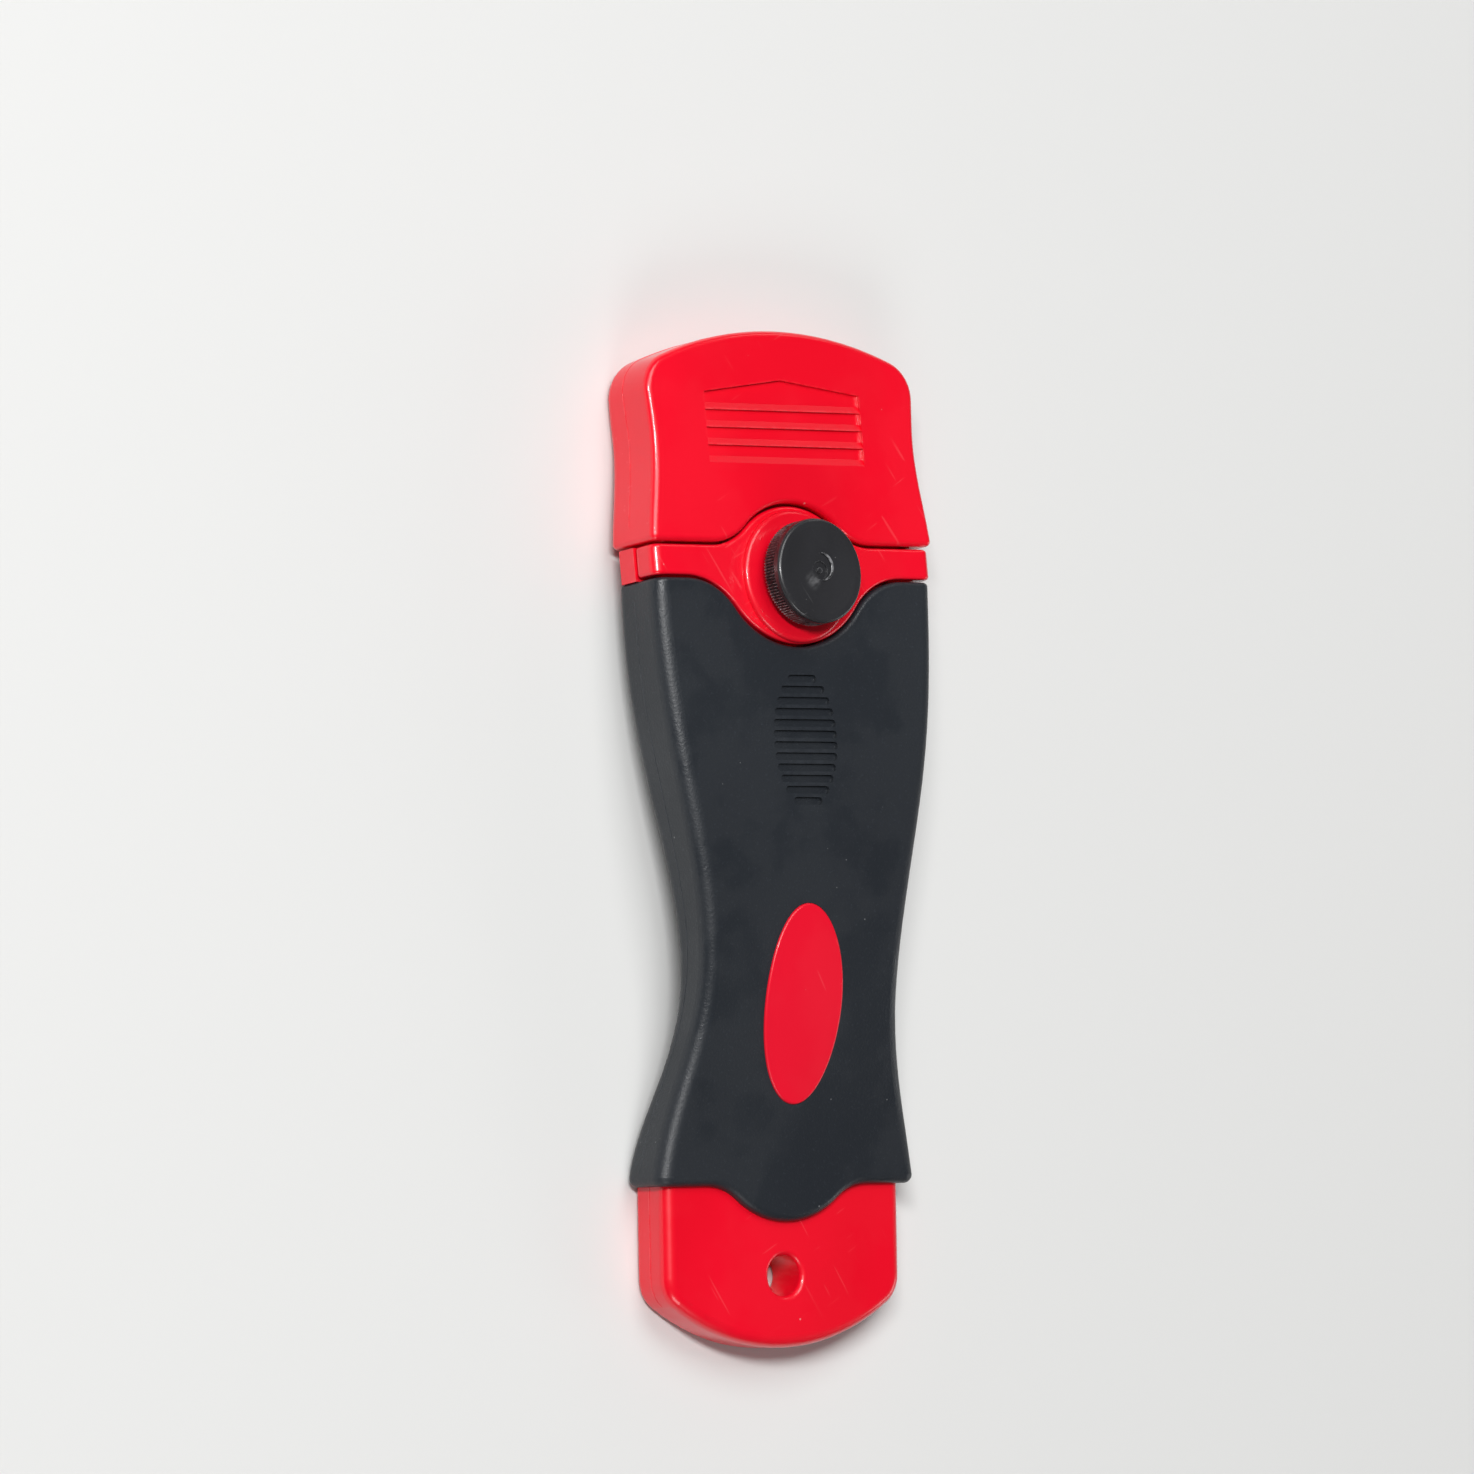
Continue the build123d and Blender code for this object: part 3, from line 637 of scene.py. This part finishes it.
@dataclass(frozen=True)
class GroundSteel(Finish):
    """Blade steel with grinding lines across the edge, a thin oil film and first rust specks."""

    flow_scale: float = 120.0
    lay: Triple = (1.0, 40.0, 40.0)
    lay_scale: float = 5200.0
    lay_depth: float = 0.002
    lay_range: Pair = (0.3, 0.7)
    lay_tint: float = 0.35
    tint_range: Pair = (0.35, 0.7)
    shine_range: Pair = (-0.07, 0.1)
    rust_scale: float = 900.0
    rust_amount: float = 0.12
    rust_tone: Colour = (0.23, 0.11, 0.06)
    rub_scale: float = 140.0
    rub_dulling: float = 0.08

    def paint(self, skin: Skin) -> None:
        """Lay the finish's own effects on a skin."""
        lay = skin.noise(skin.stretch(skin.place, self.lay), self.lay_scale, 3.0, 0.7)
        film = self.flow(skin)
        rust = skin.mask(Effect.DUST, self.rust_scale, self.rust_amount)
        rub = skin.mask(Effect.RUB, self.rub_scale)
        tint = skin.remap(lay, *self.tint_range, (0.0, self.lay_tint))
        colour = skin.mix(tint, film.outputs["Colour"], self.deep)
        colour = skin.mix(rust, colour, self.rust_tone)
        spread = tuple(self.roughness + step for step in self.shine_range)
        shine = skin.plus(skin.remap(lay, *self.lay_range, spread), rub, self.rub_dulling)
        skin.fill(skin.shader, {"Base Color": colour, "Roughness": shine, "Metallic": 1.0})
        skin.bump(lay, self.lay_depth)


@dataclass(frozen=True)
class PlatedSteel(Finish):
    """Bright zinc plating with a fine crystal look, soft stains and rubbed corners."""

    flow_scale: float = 260.0
    edge_reach: float = 0.3
    edge_scale: float = 1700.0
    edge_amount: float = 0.6
    worn_tone: Colour = (0.86, 0.85, 0.83)
    stain_dulling: float = 0.14
    crystal_scale: float = 7000.0
    crystal_depth: float = 0.003

    def paint(self, skin: Skin) -> None:
        """Lay the finish's own effects on a skin."""
        stain = self.flow(skin)
        grain = skin.effect(Effect.FINE_GRAIN, Scale=self.crystal_scale)
        edge = self.edge(skin)
        colour = skin.mix(edge, stain.outputs["Colour"], self.worn_tone)
        dull = self.roughness + self.stain_dulling
        shine = skin.remap(stain.outputs["Drift"], 0.0, 1.0, (self.roughness, dull))
        skin.fill(skin.shader, {"Base Color": colour, "Roughness": shine, "Metallic": 1.0})
        skin.bump(grain.outputs["Height"], self.crystal_depth)


@dataclass(frozen=True)
class HeadFrame:
    """Frame of the tilted head: x across, y from knob to blade, z out of the front. Lengths in mm."""

    knob_y: float = 33.55
    plane_z: float = 7.15267
    tilt: float = 6.3

    def frame_at(self, x: float, u: float, n: float) -> Matrix:
        """Return the frame moved to a point of the head: x across, u along it and n out of its front."""
        origin = Matrix.Translation(Vector((0.0, self.knob_y, self.plane_z)) * MM)
        tilted = origin @ Matrix.Rotation(-radians(self.tilt), 4, "X")
        return tilted @ Matrix.Translation(Vector((x, u, n)) * MM)


class Bench:
    """Modelling steps that the new pieces share, all done with Blender's own operators."""

    @staticmethod
    def clear() -> None:
        """Leave edit mode and let go of every object."""
        if bpy.context.object and bpy.context.object.mode != "OBJECT":
            bpy.ops.object.mode_set(mode="OBJECT")
        bpy.ops.object.select_all(action="DESELECT")

    @staticmethod
    def take(piece: Object) -> None:
        """Select one object alone and make it active."""
        Bench.clear()
        piece.select_set(True)
        bpy.context.view_layer.objects.active = piece

    @staticmethod
    def pick_faces(piece: Object, wanted: Callable[[Vector, Vector], bool]) -> None:
        """Select the faces that pass a test, in edit mode.

        Args:
            piece: the object in hand.
            wanted: a test of a face's centre and normal.
        """
        bpy.ops.object.mode_set(mode="EDIT")
        bpy.ops.mesh.select_mode(type="FACE")
        bpy.ops.mesh.select_all(action="DESELECT")
        bpy.ops.object.mode_set(mode="OBJECT")
        for face in piece.data.polygons:
            face.select = wanted(face.center, face.normal)
        bpy.ops.object.mode_set(mode="EDIT")

    @staticmethod
    def settle(piece: Object, name: str, place: Matrix, smooth_angle: float = 40.0) -> Object:
        """Name a piece, put its place in its mesh and shade it.

        Args:
            piece: the object in hand.
            name: its name.
            place: where it goes.
            smooth_angle: the angle in degrees past which an edge stays sharp.

        Returns:
            The same object.
        """
        Bench.take(piece)
        piece.name = name
        piece.data.name = name
        piece.matrix_world = place @ piece.matrix_world
        bpy.ops.object.transform_apply(location=True, rotation=True, scale=True)
        bpy.ops.object.shade_smooth_by_angle(angle=radians(smooth_angle))
        return piece

    @staticmethod
    def apply(piece: Object, kind: str, **settings: object) -> None:
        """Add a modifier to a piece and apply it.

        Args:
            piece: the object in hand.
            kind: the modifier's type.
            settings: its properties.
        """
        Bench.take(piece)
        modifier = piece.modifiers.new(kind.lower(), kind)
        for name, value in settings.items():
            setattr(modifier, name, value)
        bpy.ops.object.modifier_apply(modifier=modifier.name)

    @staticmethod
    def hand_over(piece: Object, body: Body, slot: Slot, finishes: dict[Slot, Material]) -> None:
        """Give a finished piece its material, its slot and the body that it rides on.

        Args:
            piece: the finished object.
            body: the body that carries it.
            slot: the record's slot of its finish.
            finishes: the materials by slot.
        """
        piece.data.materials.clear()
        piece.data.materials.append(finishes[slot])
        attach(piece, body.value)
        LOG.info("%s: %d faces, rides on %s", piece.name, len(piece.data.polygons), body.value)


@dataclass(frozen=True)
class PinMark:
    """Mark that a mould's ejector pin leaves on a back: a low rim round a shallow dish. Lengths in mm."""

    radius: float = 1.6
    proud: float = 0.05
    sunk: float = 0.1
    rim: float = 0.16
    dish: float = 0.05
    sides: int = 48

    def build(self, name: str, place: Matrix) -> Object:
        """Model the mark.

        Args:
            name: the piece's name.
            place: the frame of the back at the mark, with z into the solid.

        Returns:
            The new object.
        """
        Bench.clear()
        bpy.ops.mesh.primitive_cylinder_add(
            vertices=self.sides,
            radius=self.radius * MM,
            depth=(self.proud + self.sunk) * MM,
            location=(0, 0, (self.proud - self.sunk) / 2 * MM),
        )
        mark = bpy.context.object
        Bench.pick_faces(mark, lambda _, normal: normal.z > FACING)
        bpy.ops.mesh.inset(thickness=self.rim * MM)
        bpy.ops.mesh.inset(thickness=self.dish * MM)
        bpy.ops.transform.translate(value=(0, 0, -self.dish * MM))
        bpy.ops.mesh.inset(thickness=self.radius / 2 * MM)
        bpy.ops.transform.translate(value=(0, 0, -self.dish / 3 * MM))
        return Bench.settle(mark, name, place @ Matrix.Rotation(pi, 4, "X"), smooth_angle=30.0)


@dataclass(frozen=True)
class WallStrip:
    """Thin witness line of a mould's parting, lifted from the wall of a CAD solid. Lengths in mm."""

    width: float = 0.16
    proud: float = 0.045
    sunk: float = 0.06
    merge: float = 0.001

    def build(
        self, name: str, node: Object, plane: Matrix, outside: Callable[[Vector, Vector], bool]
    ) -> Object:
        """Model the strip.

        Args:
            name: the piece's name.
            node: the CAD object that it lies on.
            plane: the parting plane, as a frame with z across the strip.
            outside: a test that a face belongs to the strip, by centre and normal in the plane's frame.

        Returns:
            The new object.
        """
        Bench.take(node)
        bpy.ops.object.duplicate()
        strip = bpy.context.object
        strip.parent = None
        for key in list(strip.keys()):  # tags that only the CAD node itself may carry
            del strip[key]
        bpy.ops.object.mode_set(mode="EDIT")
        bpy.ops.mesh.select_all(action="SELECT")
        bpy.ops.mesh.remove_doubles(threshold=self.merge * MM)
        bpy.ops.mesh.customdata_custom_splitnormals_clear()
        across = plane.to_3x3() @ Vector((0, 0, 1))
        for side in (-1, 1):
            bpy.ops.mesh.select_all(action="SELECT")
            edge = plane @ Vector((0, 0, side * self.width / 2 * MM))
            bpy.ops.mesh.bisect(plane_co=edge, plane_no=across, clear_inner=side < 0, clear_outer=side > 0)
        back = plane.inverted()
        turn = back.to_3x3()
        Bench.pick_faces(strip, lambda centre, normal: not outside(back @ centre, turn @ normal))
        bpy.ops.mesh.delete(type="FACE")
        bpy.ops.mesh.select_all(action="SELECT")
        bpy.ops.transform.shrink_fatten(value=-self.sunk * MM)
        Bench.apply(strip, "SOLIDIFY", thickness=(self.sunk + self.proud) * MM, offset=1.0)
        return Bench.settle(strip, name, Matrix.Identity(4), smooth_angle=50.0)


@dataclass(frozen=True)
class GripBead:
    """Bead along the side of the grip where its two mould halves meet. Lengths in mm."""

    radius: float = 0.11
    sides: int = 8
    stations: int = 72
    sink: float = 0.055
    tip_share: float = 0.3
    ray_start: float = 40.0

    def build(self, name: str, sleeve: Object, side: int, line: Line) -> Object:
        """Model the bead.

        Args:
            name: the piece's name.
            sleeve: the CAD grip that it lies on.
            side: -1 for the left side and 1 for the right.
            line: places along the grip and heights that the bead passes through, in order along it.

        Returns:
            The new object.
        """
        shares = [index / self.stations for index in range(self.stations + 1)]
        spots = [self.spot(sleeve, side, *self.along(line, share)) for share in shares]
        Bench.clear()
        bpy.ops.mesh.primitive_circle_add(
            vertices=self.sides,
            radius=self.radius * MM,
            location=spots[0],
            rotation=(pi / 2, 0, 0),
            fill_type="NGON",
        )
        bead = bpy.context.object
        bpy.ops.object.mode_set(mode="EDIT")
        bpy.ops.mesh.select_all(action="SELECT")
        bpy.ops.transform.resize(value=(self.tip_share,) * 3, center_override=spots[0])
        growth = {1: 1 / self.tip_share, self.stations: self.tip_share}
        for index in range(1, len(spots)):
            step = spots[index] - spots[index - 1]
            bpy.ops.mesh.extrude_region_move(TRANSFORM_OT_translate={"value": step})
            if index in growth:
                bpy.ops.transform.resize(value=(growth[index],) * 3, center_override=spots[index])
        bpy.ops.mesh.select_all(action="SELECT")
        bpy.ops.mesh.normals_make_consistent(inside=False)
        return Bench.settle(bead, name, Matrix.Identity(4), smooth_angle=60.0)

    @staticmethod
    def along(line: Line, share: float) -> Pair:
        """Read the line between its points, smoothly.

        Args:
            line: its points, evenly spread in share.
            share: how far along it is read, from 0 to 1.

        Returns:
            The place along the grip and the height there, in mm.
        """
        reach = share * (len(line) - 1)
        index = min(int(reach), len(line) - 2)
        part = reach - index
        points = [line[max(0, min(len(line) - 1, index + offset))] for offset in (-1, 0, 1, 2)]
        weights = (
            ((2 - part) * part - 1) * part / 2,
            ((3 * part - 5) * part * part + 2) / 2,
            ((4 - 3 * part) * part + 1) * part / 2,
            (part - 1) * part * part / 2,
        )
        return tuple(sum(weight * point[axis] for weight, point in zip(weights, points)) for axis in (0, 1))

    def spot(self, sleeve: Object, side: int, y: float, z: float) -> Vector:
        """Find the bead's centre beside the grip's wall.

        Args:
            sleeve: the CAD grip.
            side: -1 for the left side and 1 for the right.
            y: place along the grip.
            z: height.

        Returns:
            The point, in metres.
        """
        start = Vector((side * self.ray_start, y, z)) * MM
        hit, place, *_ = sleeve.ray_cast(start, Vector((-side, 0, 0)))
        if not hit:
            raise ValueError(f"no grip wall at y {y:.1f}, z {z:.1f}")
        return place - Vector((side * self.sink * MM, 0, 0))


class SubAssembly:
    """Group of CAD nodes that gets its finishes and its moulding marks together."""

    SLOTS: dict[str, Slot] = {}

    def dress(self, nodes: dict[str, Object], finishes: dict[Slot, Material]) -> None:
        """Put each CAD node's own material in its slots.

        Args:
            nodes: the CAD objects by name.
            finishes: the materials by slot.
        """
        for name, slot in self.SLOTS.items():
            for place in nodes[name].material_slots:
                place.material = finishes[slot]
            LOG.info("%s: dressed with %s", name, finishes[slot].name)

    def build(self, nodes: dict[str, Object], head: HeadFrame, finishes: dict[Slot, Material]) -> None:
        """Model the moulding marks. A group without any leaves this as it is.

        Args:
            nodes: the CAD objects by name.
            head: the frame of the head.
            finishes: the materials by slot.
        """


@dataclass
class Handle(SubAssembly):
    """Red core with the soft grip, the oval inlay, the nut, and the blade in its spine. Lengths in mm."""

    SLOTS = {
        "handle_core": Slot.RED_PLASTIC,
        "grip_sleeve": Slot.SOFT_GRIP,
        "oval_inlay": Slot.RED_INLAY,
        "clamp_nut": Slot.PLATED_STEEL,
        "blade": Slot.BLADE_STEEL,
        "blade_spine": Slot.PLATED_STEEL,
    }
    grip_line: Line = (
        (31.0, 6.6), (19.0, 7.1), (7.0, 7.9), (-5.0, 8.3),
        (-15.0, 8.0), (-25.0, 6.4), (-35.0, 4.3), (-43.6, 3.2),
    )
    tail_height: float = 3.1
    tail_top: float = -45.4
    tail_turn: float = -60.5
    tail_side: float = 15.0
    jaw_back: float = -3.0
    jaw_mark_x: float = 15.5
    jaw_mark_u: float = 1.4
    jaw_mark_radius: float = 1.3

    def beside_tail(self, side: int, centre: Vector, normal: Vector) -> bool:
        """Test that a face is on one side wall of the tail.

        Args:
            side: -1 for the left side and 1 for the right.
            centre: the face's centre.
            normal: its normal.

        Returns:
            Whether it is on that wall, between the grip and the tail's round end.
        """
        along = self.tail_turn < centre.y / MM < self.tail_top
        return along and side * centre.x > self.tail_side * MM and side * normal.x > FACING

    def build(self, nodes: dict[str, Object], head: HeadFrame, finishes: dict[Slot, Material]) -> None:
        """Model the beads of the grip, the parting lines of the tail and the pin marks of the jaw."""
        sleeve, plane = nodes["grip_sleeve"], Matrix.Translation((0, 0, self.tail_height * MM))
        for side, word in ((-1, "left"), (1, "right")):
            bead = GripBead().build(f"grip_parting_bead_{word}", sleeve, side, self.grip_line)
            wanted = partial(self.beside_tail, side)
            strip = WallStrip().build(f"tail_parting_line_{word}", nodes["handle_core"], plane, wanted)
            place = head.frame_at(side * self.jaw_mark_x, self.jaw_mark_u, self.jaw_back)
            mark = PinMark(radius=self.jaw_mark_radius).build(f"jaw_pin_mark_{word}", place)
            Bench.hand_over(bead, Body.HANDLE, Slot.SOFT_GRIP, finishes)
            for piece in (strip, mark):
                Bench.hand_over(piece, Body.HANDLE, Slot.RED_PLASTIC, finishes)


@dataclass
class BladeGuard(SubAssembly):
    """Push-on guard with its parting line and the pin marks on its back. Lengths in mm."""

    SLOTS = {"blade_guard": Slot.RED_GUARD}
    parting_n: float = -0.6
    line_start_u: float = 7.0
    bore_half: float = 20.4
    bore_slack: float = 0.3
    heart_u: float = 12.0
    end_u: float = 32.51
    wall_depth: float = 1.44
    dome_radius: float = 52.0
    back_n: float = -4.85
    mark_x: float = 13.0
    mark_u: tuple[float, ...] = (11.0, 17.0)

    def outside(self, centre: Vector, normal: Vector) -> bool:
        """Test that a face of the wall is on the guard's outside.

        Args:
            centre: its centre in the head's frame.
            normal: its normal in the head's frame.

        Returns:
            Whether it is outside and past the start of the line.
        """
        x, u = centre.x / MM, centre.y / MM
        outward = Vector((x, u - self.heart_u)).normalized()
        facing = Vector((normal.x, normal.y)).dot(outward)
        dome_centre = Vector((0.0, self.end_u - self.dome_radius))
        past_end = (Vector((x, u)) - dome_centre).length > self.dome_radius - self.wall_depth
        past_wall = abs(x) > self.bore_half + self.bore_slack or past_end
        return u > self.line_start_u and facing > FACING and past_wall

    def build(self, nodes: dict[str, Object], head: HeadFrame, finishes: dict[Slot, Material]) -> None:
        """Model the guard's parting line and pin marks."""
        plane = head.frame_at(0.0, 0.0, self.parting_n)
        strip = WallStrip().build("guard_parting_line", nodes["blade_guard"], plane, self.outside)
        Bench.hand_over(strip, Body.GUARD, Slot.RED_GUARD, finishes)
        for row, u in enumerate(self.mark_u):
            for side, word in ((-1, "left"), (1, "right")):
                place = head.frame_at(side * self.mark_x, u, self.back_n)
                mark = PinMark().build(f"guard_pin_mark_{word}_{row}", place)
                Bench.hand_over(mark, Body.GUARD, Slot.RED_GUARD, finishes)


class ClampPlate(SubAssembly):
    """Clamp plate with its boss and washer."""

    SLOTS = {"clamp_plate": Slot.RED_PLASTIC, "washer": Slot.PLATED_STEEL}


@dataclass
class Knob(SubAssembly):
    """Knurled knob with the swirl round its gate. Lengths in mm."""

    SLOTS = {"knob": Slot.KNOB_PLASTIC, "knob_screw": Slot.PLATED_STEEL}
    face_n: float = 9.6
    swirl_x: float = 0.15
    swirl_u: float = 0.5
    swirl_radius: float = 1.8
    swirl_height: float = 0.13
    swirl_start: float = 0.1
    taper: float = 0.6
    tip_width: float = 0.15
    swell: float = 1.6
    tip_height: float = 0.1

    def build(self, nodes: dict[str, Object], head: HeadFrame, finishes: dict[Slot, Material]) -> None:
        """Model the crescent that the melt left beside the gate: half a torus with slim, low ends."""
        Bench.clear()
        bpy.ops.mesh.primitive_torus_add(
            major_segments=72,
            minor_segments=10,
            major_radius=self.swirl_radius * MM,
            minor_radius=self.swirl_height * MM,
        )
        swirl = bpy.context.object
        Bench.pick_faces(swirl, lambda centre, _: centre.x < self.swirl_start * self.swirl_radius * MM)
        bpy.ops.mesh.delete(type="FACE")
        bpy.ops.object.mode_set(mode="OBJECT")
        for vertex in swirl.data.vertices:
            place = Vector((vertex.co.x, vertex.co.y))
            share = max(0.0, vertex.co.x / (self.swirl_radius * MM)) ** self.taper
            spine = place.normalized() * self.swirl_radius * MM
            slim = spine + (place - spine) * (self.tip_width + self.swell * share)
            height = self.tip_height + (1.0 - self.tip_height) * share
            vertex.co = Vector((slim.x, slim.y, vertex.co.z * height))
        bpy.ops.object.mode_set(mode="EDIT")
        bpy.ops.mesh.select_mode(type="EDGE")
        bpy.ops.mesh.select_all(action="DESELECT")
        bpy.ops.mesh.select_non_manifold()
        bpy.ops.mesh.edge_face_add()
        place = head.frame_at(self.swirl_x, self.swirl_u, self.face_n)
        Bench.settle(swirl, "knob_gate_swirl", place, smooth_angle=60.0)
        Bench.hand_over(swirl, Body.KNOB, Slot.KNOB_PLASTIC, finishes)


@dataclass(frozen=True)
class SoftLight:
    """One rectangular light, placed as seen from the scraper. Distance and size in metres, power in watts."""

    name: str
    towards: Triple
    distance: float
    size: Pair
    power: float

    def hang(self) -> None:
        """Hang the light so that it faces the scraper."""
        place = Vector(self.towards).normalized() * self.distance
        Bench.clear()
        bpy.ops.object.light_add(type="AREA", location=place)
        light = bpy.context.object
        light.name = self.name
        light.rotation_euler = place.to_track_quat("Z", "Y").to_euler()
        light.data.shape = "RECTANGLE"
        light.data.size, light.data.size_y = self.size
        light.data.energy = self.power


@dataclass
class Studio:
    """Camera at the photograph's angle, a pale floor and soft lights.

    The sensor and the shift are in mm, the angles in radians, the floor and the clip distances in metres.
    """

    LIGHTS = (
        SoftLight("key_light", (-0.6, 0.3, 0.9), 1.5, (0.16, 0.6), 18.0),
        SoftLight("top_light", (-0.1, 0.7, 1.0), 1.8, (1.0, 1.0), 14.0),
        SoftLight("rim_light", (0.62, 0.75, 0.4), 1.8, (0.4, 0.4), 1.0),
        SoftLight("tail_light", (-0.3, -1.0, 0.6), 1.8, (0.8, 0.6), 7.5),
        SoftLight("side_light", (1.0, -0.3, 0.3), 1.8, (0.7, 0.5), 3.0),
    )

    picture: int = 1474
    focal_pixels: float = 12236.06
    sensor: float = 36.0
    pitch: float = -0.0380876
    yaw: float = 0.6696672
    roll: float = 0.0185442
    shift: Triple = (1.19387, -13.57762, -1601.22206)
    clip_start: float = 0.05
    clip_end: float = 50.0
    floor_side: float = 12.0
    floor_tone: Colour = (0.72, 0.72, 0.71)
    floor_roughness: float = 0.85
    sky_tone: Colour = (0.95, 0.97, 1.0)
    sky_light: float = 0.035
    sky_look: float = 0.8

    def add_camera(self) -> None:
        """Place the camera and make it the scene's own."""
        level = Matrix.Rotation(self.pitch, 3, "X") @ Matrix.Rotation(self.yaw, 3, "Y")
        back = (Matrix.Rotation(self.roll, 3, "Z") @ level).transposed()
        Bench.clear()
        bpy.ops.object.camera_add()
        camera = bpy.context.object
        camera.matrix_world = Matrix.Translation(-(back @ Vector(self.shift)) * MM) @ back.to_4x4()
        camera.data.sensor_width = self.sensor
        camera.data.lens = self.focal_pixels / self.picture * self.sensor
        camera.data.clip_start = self.clip_start
        camera.data.clip_end = self.clip_end
        bpy.context.scene.camera = camera

    def add_floor(self) -> None:
        """Lay the plain pale floor."""
        Bench.clear()
        bpy.ops.mesh.primitive_plane_add(size=self.floor_side)
        floor = bpy.context.object
        floor.name = "studio_floor"
        material = bpy.data.materials.new("studio_floor")
        material.use_nodes = True
        inputs = material.node_tree.nodes["Principled BSDF"].inputs
        inputs["Base Color"].default_value = (*self.floor_tone, 1.0)
        inputs["Roughness"].default_value = self.floor_roughness
        floor.data.materials.append(material)

    def add_sky(self) -> None:
        """Set a sky that looks pale and lights weakly, so the gloss stays deep."""
        world = bpy.data.worlds.new("studio_sky")
        world.use_nodes = True
        sheet = Sheet(world.node_tree)
        seen = sheet.add("LightPath").outputs["Is Camera Ray"]
        sky = sheet.add("Background")
        sky.inputs["Color"].default_value = (*self.sky_tone, 1.0)
        sheet.feed(sky.inputs["Strength"], sheet.remap(seen, 0.0, 1.0, (self.sky_light, self.sky_look)))
        sheet.feed(sheet.add("OutputWorld").inputs["Surface"], sky.outputs[0])
        bpy.context.scene.world = world

    def build(self) -> None:
        """Set up the camera, the floor, the lights and the sky."""
        self.add_camera()
        self.add_floor()
        for light in self.LIGHTS:
            light.hang()
        self.add_sky()
        bpy.context.scene.view_settings.view_transform = "Standard"


def make_finishes(head: HeadFrame) -> dict[Slot, Material]:
    """Build every finish once.

    Args:
        head: the frame of the head, which centres the knob's rings.

    Returns:
        The materials by slot.
    """
    shelf = EffectShelf()
    knob_centre = tuple(head.frame_at(0.0, 0.0, Knob.face_n).translation)
    finishes = {
        Slot.RED_PLASTIC: GlossPlastic(
            "red_plastic", (0.85, 0.0018, 0.019), (0.78, 0.001, 0.015), 0.29, frost=0.6
        ),
        Slot.RED_GUARD: GlossPlastic("red_guard", (0.87, 0.0018, 0.019), (0.8, 0.001, 0.015), 0.29),
        Slot.RED_INLAY: GlossPlastic(
            "red_inlay", (0.8, 0.0025, 0.023), (0.73, 0.0015, 0.018), 0.36, frost=0.8, coat=0.15
        ),
        Slot.SOFT_GRIP: SoftRubber("soft_grip", (0.0175, 0.021, 0.0262), (0.0145, 0.0175, 0.0225), 0.41),
        Slot.KNOB_PLASTIC: KnobPlastic(
            "knob_plastic", (0.023, 0.023, 0.026), (0.017, 0.017, 0.019), 0.34, centre=knob_centre
        ),
        Slot.BLADE_STEEL: GroundSteel("blade_steel", (0.6, 0.61, 0.63), (0.38, 0.39, 0.41), 0.26),
        Slot.PLATED_STEEL: PlatedSteel("plated_steel", (0.66, 0.66, 0.66), (0.47, 0.48, 0.5), 0.22),
    }
    return {slot: finish.build(shelf) for slot, finish in finishes.items()}


def main() -> None:
    """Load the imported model, set up the studio, dress every group and model its marks."""
    logging.basicConfig(level=logging.INFO, format="%(name)s: %(message)s")
    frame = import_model()
    nodes = frame["nodes"]
    Studio().build()
    head = HeadFrame()
    finishes = make_finishes(head)
    groups = (Handle(), BladeGuard(), ClampPlate(), Knob())
    for group in groups:
        group.dress(nodes, finishes)
    for group in groups:
        group.build(nodes, head, finishes)
    Bench.clear()


if __name__ == "__main__":
    main()
